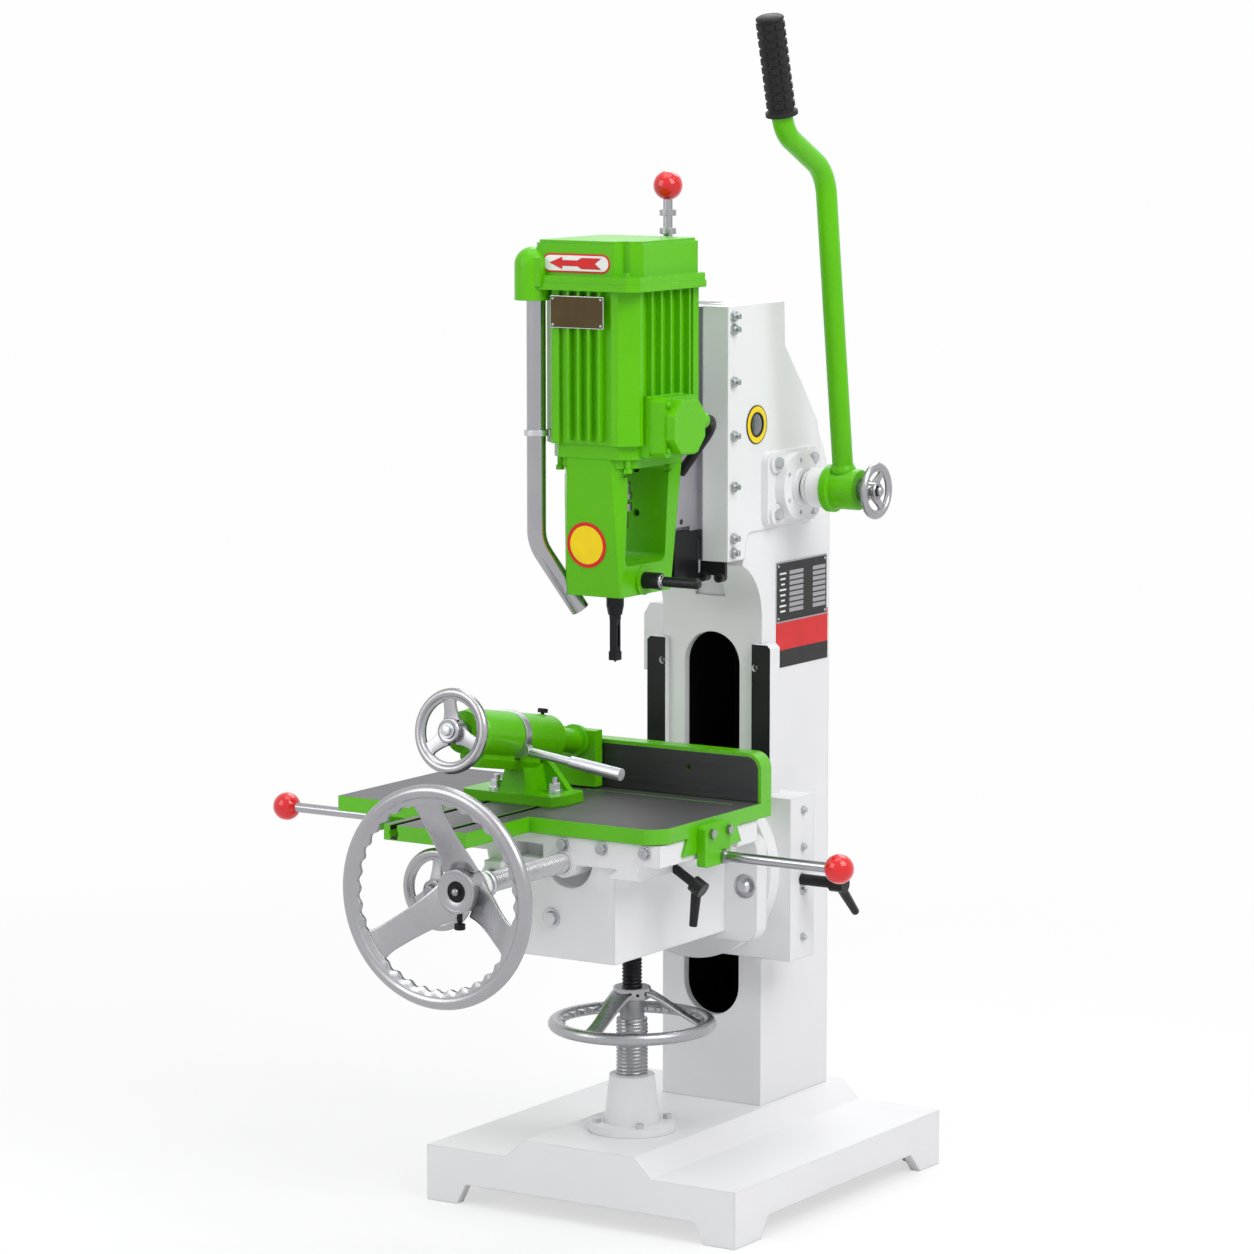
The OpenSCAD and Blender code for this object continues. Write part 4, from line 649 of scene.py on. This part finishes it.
VISE = Matrix.Translation((-132, -90, 631)) @ Matrix.Rotation(math.radians(-10), 4, "X")
vise_wheel = Piece("vise_handwheel", "vise_wheel", "polished_wheel", ["vise_wheel"])
vise_place = VISE @ frame_at(0, -290, 0, "-Y")
handwheel(vise_wheel, vise_place, rim_r=58, tube_d=13, hub_d=34, hub_z=(-15, 9), bore_d=18.1, spoke_w=19,
          spoke_t=6, first_spoke=100)
vise_wheel.add(turned_shape([(0, -297), (8, -297), (9, -296), (9, -276), (13.2, -276), (14, -275.2),
                             (14, -263), (13.2, -262.3), (9, -262.3), (9, -160), (0, -160)]), steel,
               VISE @ frame_at(0, 0, 0, "Y"))
vise_wheel.add(hex_shape(15, 6), zinc, VISE @ frame_at(0, -299, 0, "-Y"))
vise_wheel.add(disc_shape(10.5, -0.2, 1.8, 0.3), zinc, VISE @ frame_at(0, -298.6, 0, "-Y"))
vise_wheel.add(disc_shape(4.2, 16, 23, 0.5), black_oxide, VISE @ frame_at(0, -282, 0, "-X"))
vise_wheel.done(34)

lock = Piece("lock_handwheel", "lock_wheel", "polished_wheel", ["lock_wheel"])
lock_place = frame_at(228, FEED_Y, FEED_Z, "X")
handwheel(lock, lock_place, rim_r=39.5, tube_d=10, hub_d=24, hub_z=(-14, 4), bore_d=14.1, spoke_w=11,
          spoke_t=5, first_spoke=30)
lock.add(turned_shape([(0, 3), (6, 3), (6.8, 5), (6.8, 7.5), (5, 9.5), (0, 10.2)]), chrome, lock_place)
lock.done(34)

# Screws
screw = Piece("cross_feed_screw", "cross_screw", "steel", ["cross_screw"])
along_screw = frame_at(0, 0, CROSS_Z, "Y")
screw.add(thread_shape(13.5, 11.8, THREAD_PITCH, -484, -217), screw_steel, along_screw)
screw.add(turned_shape([(0, -548), (13, -548), (13, -523.9), (24.3, -523.9), (25, -523.2), (25, -521.5),
                        (19.3, -501.6), (17, -501)]), white, along_screw)
screw.add(turned_shape([(17, -501.2), (18, -500.6), (18, -495), (17.2, -494), (16.5, -494), (16.5, -493),
                        (17.2, -493), (18, -492.2), (18, -486), (17.2, -485), (11.8, -484.6), (11.8, -482)]),
          zinc, along_screw)
screw.add(turned_shape([(11.8, -219), (11.8, -215), (9, -215), (9, -194.6), (8.4, -194), (0, -194)]),
          screw_steel, along_screw)
screw.done(50)

lifter = Piece("lift_thread", "knee_slide", "black_finish", ["lift_screw"])
along_lift = frame_at(0, LIFT_Y, 0)
lifter.add(thread_shape(14, 12.6, THREAD_PITCH, 185, 440), black_oxide, along_lift)
lifter.done(50)

tube = Piece("screw_tube_thread", "frame", "steel")
tube.add(thread_shape(22, 20.6, THREAD_PITCH, 184.3, 258), steel, along_lift)
tube.add(closed_profile_shape([(20.55, 257.5), (21.2, 257.5), (21.2, 261.4), (20.55, 262)], 64), steel,
         along_lift)
tube.done(50)


# Feed lever, its grip and the blow pipe

def legs_path(legs, step=5.0):
    """Points in a plane, from the origin along +Y; a leg is (straight run, bend radius, turn)."""
    x = y = 0.0
    heading, points = 90.0, [(0.0, 0.0)]
    for run, radius, turn in legs:
        x += run * math.cos(math.radians(heading))
        y += run * math.sin(math.radians(heading))
        points.append((x, y))
        if turn:
            side = math.copysign(1, turn)
            cx = x - radius * side * math.sin(math.radians(heading))
            cy = y + radius * side * math.cos(math.radians(heading))
            steps = int(math.ceil(abs(turn) / step))
            for k in range(1, steps + 1):
                h = math.radians(heading + turn * k / steps)
                points.append((cx + radius * side * math.sin(h), cy - radius * side * math.cos(h)))
            heading += turn
            x, y = points[-1]
    return points, heading


# the lever leans by 7.4 degrees and leaves its hub 24 mm above the shaft; each leg is (run, radius, turn)
LEVER_LEAN, LEVER_START = 7.4, 24
LEVER_LEGS = [(410.8, 60, 55.9), (67.8, 50, -48.9)]
LEVER = (Matrix.Translation((177, FEED_Y, FEED_Z)) @ Matrix.Rotation(math.radians(LEVER_LEAN), 4, "X")
         @ Matrix.Rotation(math.pi / 2, 4, "Z") @ Matrix.Rotation(math.pi / 2, 4, "X"))
(first_run, *first_bend), second_leg = LEVER_LEGS
path, _ = legs_path([(first_run - LEVER_START, *first_bend), second_leg, (129, 0, 0)])
lever = Piece("feed_lever", "feed_lever", "green_paint", ["lever_tube"])
lever.add(swept_shape([(x, y + LEVER_START, 0) for x, y in path], 14.5), green, LEVER)
hub = frame_at(0, FEED_Y, FEED_Z, "X")
lever.add(closed_profile_shape([(15.02, 153.2), (32, 153.2), (33, 154.2), (33, 164), (32, 165), (29, 165.5),
                                (28.25, 166.2), (28.25, 202.5), (27, 204), (15.02, 204)], 96), green, hub)
lever.add(turned_shape([(14, 20), (17.5, 24), (18, 29), (16, 32), (14.6, 36)], 64), green,
          LEVER @ frame_at(0, 0, 0, "Y"))
lever.done(40)

GRIP_LEN = 138.6
path, heading = legs_path(LEVER_LEGS)
foot = path[-1]
GRIP = (LEVER @ Matrix.Translation((foot[0], foot[1], 0))
        @ Matrix.Rotation(math.radians(heading - 90), 4, "Z") @ Matrix.Rotation(-math.pi / 2, 4, "X"))


def grip_shape():
    """A rubber grip with rings of square pads and a flange at its foot."""
    around, pitch = 96, 12.0
    groove_r, pad_r = 17.8, 19.5
    # each row is (radius, height, whether it is cut by the grooves between pads)
    rows = [(14.6, 2, 0), (21.6, 2, 0), (22, 2.6, 0), (22, 7.4, 0), (21.4, 8, 0), (18, 8.6, 0)]
    for k in range(10):
        z = 12 + pitch * k
        rows += [(groove_r, z, 0), (groove_r, z + 1.2, 0), (pad_r, z + 2.0, 1), (pad_r, z + 9.2, 1),
                 (groove_r, z + 10, 0)]
    rows += [(18.4, GRIP_LEN - 6, 0), (19.2, GRIP_LEN - 4, 0), (18.4, GRIP_LEN - 1.8, 0),
             (15, GRIP_LEN + 0.1, 0)]
    verts, faces = [], []
    for r, z, pad in rows:
        for k in range(around):
            a = 2 * math.pi * k / around
            groove = pad and (k % 12) in (0, 1)
            rr = groove_r if groove else r
            verts.append((rr * math.cos(a), rr * math.sin(a), z))
    for i in range(len(rows) - 1):
        for k in range(around):
            j = (k + 1) % around
            faces.append([i * around + k, i * around + j, (i + 1) * around + j, (i + 1) * around + k])
    top = len(verts)
    verts.append((0, 0, GRIP_LEN + 0.3))
    last = (len(rows) - 1) * around
    faces += [[last + k, last + (k + 1) % around, top] for k in range(around)]
    return verts, faces


grip = Piece("lever_handgrip", "feed_lever", "rubber", ["lever_grip"])
grip.add(grip_shape(), rubber, GRIP)
grip.done()

PIPE_X, PIPE_Y, PIPE_TOP, PIPE_BEND_Z = -78, -250, 1288, 944
PIPE = (Matrix.Translation((PIPE_X, PIPE_Y, PIPE_TOP)) @ Matrix.Rotation(math.radians(225), 4, "Z")
        @ Matrix.Rotation(-math.pi / 2, 4, "X"))
path, _ = legs_path([(PIPE_TOP - PIPE_BEND_Z, 60, 33), (92, 0, 0)], 3.0)
pipe = Piece("chip_blow_pipe", "head", "bright_plating", ["blow_pipe"])
pipe.add(swept_shape([(x, y, 0) for x, y in path], 13, 48, wall=1.6), chrome, PIPE)
clip = Matrix.Translation((PIPE_X, PIPE_Y, 1071))
pipe.add(closed_profile_shape([(13.1, 0), (16, 0), (16.5, 0.5), (16.5, 7.5), (16, 8), (13.1, 8)], 48), zinc,
         clip)
pipe.add(extruded_shape([(12, -7), (24, -7), (24, 7), (12, 7)], 0, 8), zinc,
         clip @ Matrix.Rotation(math.radians(45), 4, "Z"))
pipe.done(34)


# Cable from the motor's terminal box to the slide
def cable_path():
    """Out of the gland, round a bend and down into the slide."""
    bend_r = 34
    lean = Matrix.Translation((97, -100, 1090)) @ Matrix.Rotation(math.radians(-52), 4, "Y")
    points = [Vector((0, -8, 0)), Vector((0, -4, 0))]
    points += [Vector((-bend_r + bend_r * math.cos(math.radians(a)), bend_r * math.sin(math.radians(a)), 0))
               for a in range(0, 91, 10)]
    points += [Vector((-bend_r - run, bend_r, 0)) for run in (12, 26, 40, 54, 66)]
    return [P(*(lean @ p)) for p in points]


CABLE_D = 0.014


points = cable_path()
curve = bpy.data.curves.new("motor_lead", "CURVE")
curve.dimensions = "3D"
curve.bevel_depth = CABLE_D / 2
curve.bevel_resolution = 8
curve.use_fill_caps = True
spline = curve.splines.new("POLY")
spline.points.add(len(points) - 1)
for place, point in zip(spline.points, points):
    place.co = (*point, 1)
spline.use_smooth = True
lead = bpy.data.objects.new("motor_lead", curve)
bpy.context.scene.collection.objects.link(lead)
curve.materials.append(cable_black)
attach(lead, "head")
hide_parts("motor_cable")


# Small trim

def rounded_outline(w, h, r, steps=6):
    """A rectangle round the origin with rounded corners."""
    points = []
    x, y = w / 2 - r, h / 2 - r
    for cx, cy, start in ((x, -y, -90), (x, y, 0), (-x, y, 90), (-x, -y, 180)):
        for k in range(steps + 1):
            a = math.radians(start + 90 * k / steps)
            points.append((cx + r * math.cos(a), cy + r * math.sin(a)))
    return points


def plate_shape(w, h, r, t, z=0.0):
    return extruded_shape(rounded_outline(w, h, r), z, z + t)


# Local X to the right and local Y up on a face that looks along -Y, and on one that looks along +X
def on_front(x, y, z):
    return Matrix.Translation((x, y, z)) @ Matrix.Rotation(math.pi / 2, 4, "X")


def on_right(x, y, z):
    quarter = math.pi / 2
    return Matrix.Translation((x, y, z)) @ Matrix.Rotation(quarter, 4, "Z") @ Matrix.Rotation(quarter, 4, "X")


def corner_rivets(piece, spot, half_w, half_h):
    rivet = turned_shape([(2.1, 0), (2.0, 0.7), (1.3, 1.25), (0, 1.4)], 20)
    for x in (-half_w, half_w):
        for y in (-half_h, half_h):
            piece.add(rivet, chrome, spot @ Matrix.Translation((x, y, 1.0)))


plate = Piece("motor_plate", "head", "steel")
spot = on_front(-10, -254.0, 1239)
plate.add(plate_shape(85, 43, 1.5, 0.8), zinc, spot)
plate.add(plate_shape(83, 41, 1.2, 1.0), brass, spot)
corner_rivets(plate, spot, 38, 17.5)
plate.done(bevel=0.25)

arrow = Piece("direction_plate", "head", "green_paint")
spot = on_front(-11, -254.0, 1304)
arrow.add(plate_shape(107.5, 25.6, 12.4, 0.6), plate_red, spot)
arrow.add(plate_shape(102.5, 20.6, 10.1, 0.9), plate_white, spot)
upper = [(-21.6, 8.2), (-21.6, 3.8), (2.6, 3.8), (9, 7.3), (40, 7.3)]
outline = [(-42, 0)] + upper + [(30, 0)] + [(x, -y) for x, y in upper[::-1]]
arrow.add(extruded_shape(outline, 0.2, 1.15), plate_red, spot)
arrow.done()

# the yoke's front leans forward towards its upper end, and the disc with it
YOKE_LEAN = 3.07
disc = Piece("round_plate", "head", "green_paint")
lean_front = Matrix.Translation((-7, -235.5, 926)) @ Matrix.Rotation(math.radians(90 + YOKE_LEAN), 4, "X")
disc.add(disc_shape(31, 0.0, 0.6, 0.1, 72), plate_red, lean_front)
disc.add(disc_shape(26, 0.1, 0.85, 0.1, 72), plate_yellow, lean_front)
disc.done()

sight = Piece("sight_glass", "frame", "casting_paint")
spot = frame_at(84, 53, 1071, "X")
sight.add(closed_profile_shape([(17, 0.02), (26, 0.02), (26, 1.0), (25.4, 1.3), (17.6, 1.3), (17, 1.0)], 72),
          plate_yellow, spot)
sight.add(closed_profile_shape([(25.5, 0.02), (27, 0.02), (27, 1.1), (26.6, 1.5), (25.5, 1.5)], 72),
          plate_black, spot)
sight.add(closed_profile_shape([(14.6, 0.02), (17.5, 0.02), (17.5, 1.6), (17, 2.2), (15.2, 2.2),
                                (14.6, 1.6)], 72), black_oxide, spot)
sight.add(turned_shape([(0, 0.02), (14.8, 0.02), (14.8, 0.8), (11, 1.5), (6, 2.0), (0, 2.2)], 48),
          sight_glass, spot)
sight.done()

COLUMN_SIDE = 81.0
data_plate = Piece("column_data_plate", "frame", "casting_paint")
spot = on_right(COLUMN_SIDE, 182, 830)
data_plate.add(plate_shape(140, 86, 1.5, 0.8), chrome, spot)
data_plate.add(plate_shape(136, 82, 1.5, 1.1), plate_black, spot)
for row in range(8):
    y = 26 - row * 7.6
    for x, w in ((-15, 38), (48, 35)):
        data_plate.add(plate_shape(w, 5.4, 0.4, 0.12, 1.05), chrome, spot @ Matrix.Translation((x, y, 0)))
    data_plate.add(plate_shape(18 - 4 * (row % 3), 2.6, 0.4, 0.12, 1.05), plate_white,
                   spot @ Matrix.Translation((-52, y, 0)))
corner_rivets(data_plate, spot, 64, 37)
data_plate.done()

colour_plate = Piece("column_colour_plate", "frame", "casting_paint")
spot = on_right(COLUMN_SIDE, 184, 759.5)
colour_plate.add(plate_shape(142, 72, 1.0, 0.7), plate_red, spot)
colour_plate.add(plate_shape(142, 24.5, 1.0, 0.78), plate_black,
                 spot @ Matrix.Translation((0, -23.7, 0)))
colour_plate.done()

# Fixings: washers, the feed shaft's collars and small screws
washers = Piece("saddle_washers", "saddle", "bright_plating")
for x in (0, 62, 130):
    washers.add(washer_shape(9.6, 7.0, 0.05, 1.5), zinc, frame_at(x, -305, 530, "-Y"))
washers.done()
washer = Piece("knee_washer", "knee", "bright_plating")
washer.add(washer_shape(13.5, 9.0, 0.05, 2.0), zinc, frame_at(-28, -290, 424, "-Y"))
washer.done()

collar = Piece("shaft_collar", "feed_lever", "casting_paint")
collar.add(closed_profile_shape([(17.05, 118.6), (20.6, 118.6), (21.4, 119.4), (21.4, 124.6),
                                 (20.6, 125.4), (20.6, 126.6), (25.6, 127.2), (26.2, 127.95),
                                 (17.05, 127.95)], 72), white, hub)
collar.add(closed_profile_shape([(27.02, 128.2), (27.6, 128.6), (27.6, 152.4), (27.02, 152.8)], 72), white,
           hub)
collar.done()

neck = Piece("clamp_neck", "chisel_clamp", "bright_plating")
neck.add(closed_profile_shape([(7.02, 73.02), (9.6, 73.02), (9.6, 75), (8.2, 76), (8.2, 79), (7.02, 79.4)],
                              48), chrome, frame_at(0, SPINDLE_Y, 876, "X"))
neck.done()

box_screws = Piece("terminal_screws", "head", "green_paint")
round_head = turned_shape([(0, 0.02), (4.4, 0.02), (4.4, 1.8), (3.9, 2.8), (2.6, 3.4), (0, 3.5)], 24)
for y in (-208.5, -141.5):
    for z in (1056.5, 1117.5):
        box_screws.add(round_head, green, frame_at(104, y, z, "X"))
box_screws.done()

cover_screw = Piece("cover_screw", "head", "green_paint")
cover_spot = (66, -249, 1287.02)
cover_screw.add(hex_shape(11, 4.5, 1.2), green, frame_at(*cover_spot, "Z", 17))
cover_screw.add(washer_shape(7.4, 3, 0, 1.2), green, frame_at(*cover_spot, "Z"))
cover_screw.done()

knob = Piece("barrel_thumb_screw", "table", "black_finish")
knob.add(turned_shape([(0, 0), (2.6, 0), (2.6, 2.2), (6.4, 2.6), (7.2, 3.3), (7.2, 7.6), (6.4, 8.6),
                       (0, 8.8)], 32), black_oxide, VISE @ frame_at(0, -73, 32.6, "Z"))
knob.done()


# Stage, lights and camera

BACKGROUND = (0.99, 0.99, 0.99, 1)
WORLD_LIGHT = 0.52


def background_rays(tree):
    """1 for rays that see the plain background: the camera's, and those of glass and metal."""
    rays = tree.nodes.new("ShaderNodeLightPath")
    seen = rays.outputs["Is Camera Ray"]
    for other in ("Is Glossy Ray", "Is Transmission Ray"):
        either = tree.nodes.new("ShaderNodeMath")
        either.operation = "MAXIMUM"
        tree.links.new(seen, either.inputs[0])
        tree.links.new(rays.outputs[other], either.inputs[1])
        seen = either.outputs[0]
    return seen


world = bpy.data.worlds.new("studio")
bpy.context.scene.world = world
world.use_nodes = True
tree = world.node_tree
tree.nodes.clear()
out = tree.nodes.new("ShaderNodeOutputWorld")
seen = background_rays(tree)
direction = tree.nodes.new("ShaderNodeTexCoord")
split = tree.nodes.new("ShaderNodeSeparateXYZ")
tree.links.new(direction.outputs["Generated"], split.inputs[0])
height = tree.nodes.new("ShaderNodeValToRGB")
stops = height.color_ramp.elements
stops[0].position, stops[0].color = 0.0, (0.30, 0.30, 0.31, 1)
stops[1].position, stops[1].color = 0.55, (0.92, 0.92, 0.93, 1)
middle = height.color_ramp.elements.new(0.18)
middle.color = (0.42, 0.42, 0.44, 1)
tree.links.new(split.outputs["Z"], height.inputs[0])
plain = tree.nodes.new("ShaderNodeBackground")
plain.inputs[0].default_value = BACKGROUND
plain.inputs[1].default_value = 1.0
lit = tree.nodes.new("ShaderNodeBackground")
lit.inputs[1].default_value = WORLD_LIGHT
tree.links.new(height.outputs[0], lit.inputs[0])
both = tree.nodes.new("ShaderNodeMixShader")
tree.links.new(seen, both.inputs[0])
tree.links.new(lit.outputs[0], both.inputs[1])
tree.links.new(plain.outputs[0], both.inputs[2])
tree.links.new(both.outputs[0], out.inputs[0])


def area_light(name, azimuth, elevation, distance, size, power, target=(0.0, 0.0, 0.75)):
    """Azimuth 0 stands in front of the machine and 90 on its right."""
    lamp = bpy.data.lights.new(name, "AREA")
    lamp.shape = "RECTANGLE"
    lamp.size, lamp.size_y = size
    lamp.energy = power
    a, e = math.radians(azimuth), math.radians(elevation)
    centre = Vector(target)
    place = centre + distance * Vector((math.sin(a) * math.cos(e), -math.cos(a) * math.cos(e), math.sin(e)))
    obj = bpy.data.objects.new(name, lamp)
    bpy.context.scene.collection.objects.link(obj)
    obj.location = place
    obj.rotation_euler = (centre - place).to_track_quat("-Z", "Y").to_euler()
    return obj


area_light("key", azimuth=78, elevation=42, distance=3.6, size=(2.2, 2.2), power=78)
area_light("fill", azimuth=-28, elevation=26, distance=3.8, size=(2.4, 2.4), power=43)
area_light("back", azimuth=190, elevation=48, distance=3.8, size=(2.6, 1.6), power=50)
area_light("top", azimuth=20, elevation=88, distance=3.4, size=(2.4, 2.4), power=33)

floor_look = Nodes("floor")
floor_tint = floor_look.ramp(floor_look.noise(3.0, 2.0),
                             [(0.3, (0.86, 0.86, 0.865, 1)), (0.7, (0.885, 0.885, 0.89, 1))])
floor_material = floor_look.set(base=floor_tint, rough=0.65, specular=0.2)
# seen directly, the floor fades into the plain background; near the machine it keeps the shadow
tree = floor_material.node_tree
spread = tree.nodes.new("ShaderNodeVectorMath")
spread.operation = "LENGTH"
tree.links.new(floor_look.coord, spread.inputs[0])
fade = tree.nodes.new("ShaderNodeMapRange")
for name, value in (("From Min", 0.7), ("From Max", 2.6), ("To Min", 0.62), ("To Max", 1.0)):
    fade.inputs[name].default_value = value
tree.links.new(spread.outputs["Value"], fade.inputs[0])
seen = background_rays(tree)
amount = tree.nodes.new("ShaderNodeMath")
amount.operation = "MULTIPLY"
tree.links.new(fade.outputs[0], amount.inputs[0])
tree.links.new(seen, amount.inputs[1])
glow = tree.nodes.new("ShaderNodeEmission")
glow.inputs[0].default_value = BACKGROUND
blend = tree.nodes.new("ShaderNodeMixShader")
tree.links.new(amount.outputs[0], blend.inputs[0])
tree.links.new(floor_look.shader.outputs[0], blend.inputs[1])
tree.links.new(glow.outputs[0], blend.inputs[2])
out = next(node for node in tree.nodes if node.type == "OUTPUT_MATERIAL")
tree.links.new(blend.outputs[0], out.inputs[0])
bpy.ops.mesh.primitive_plane_add(size=60, location=(0, 0, -0.0005))
floor = bpy.context.active_object
floor.name = "floor"
floor.data.materials.append(floor_material)

# solved from the photograph: focal length and width in its pixels, place, and angles in degrees
FOCAL_PX, PHOTO_PX = 4645.8, 1254
CAMERA_PLACE = (3383.7, -5418.5, 1633.2)
CAMERA_DOWN, CAMERA_TURN = 7.525, 32.692
camera_data = bpy.data.cameras.new("camera")
camera_data.sensor_width = 36
camera_data.lens = camera_data.sensor_width * FOCAL_PX / PHOTO_PX
camera_data.clip_end = 100
camera = bpy.data.objects.new("camera", camera_data)
bpy.context.scene.collection.objects.link(camera)
camera.location = P(*CAMERA_PLACE)
camera.rotation_euler = (math.radians(90 - CAMERA_DOWN), 0, math.radians(CAMERA_TURN))
bpy.context.scene.camera = camera
bpy.context.scene.view_settings.view_transform = "Standard"
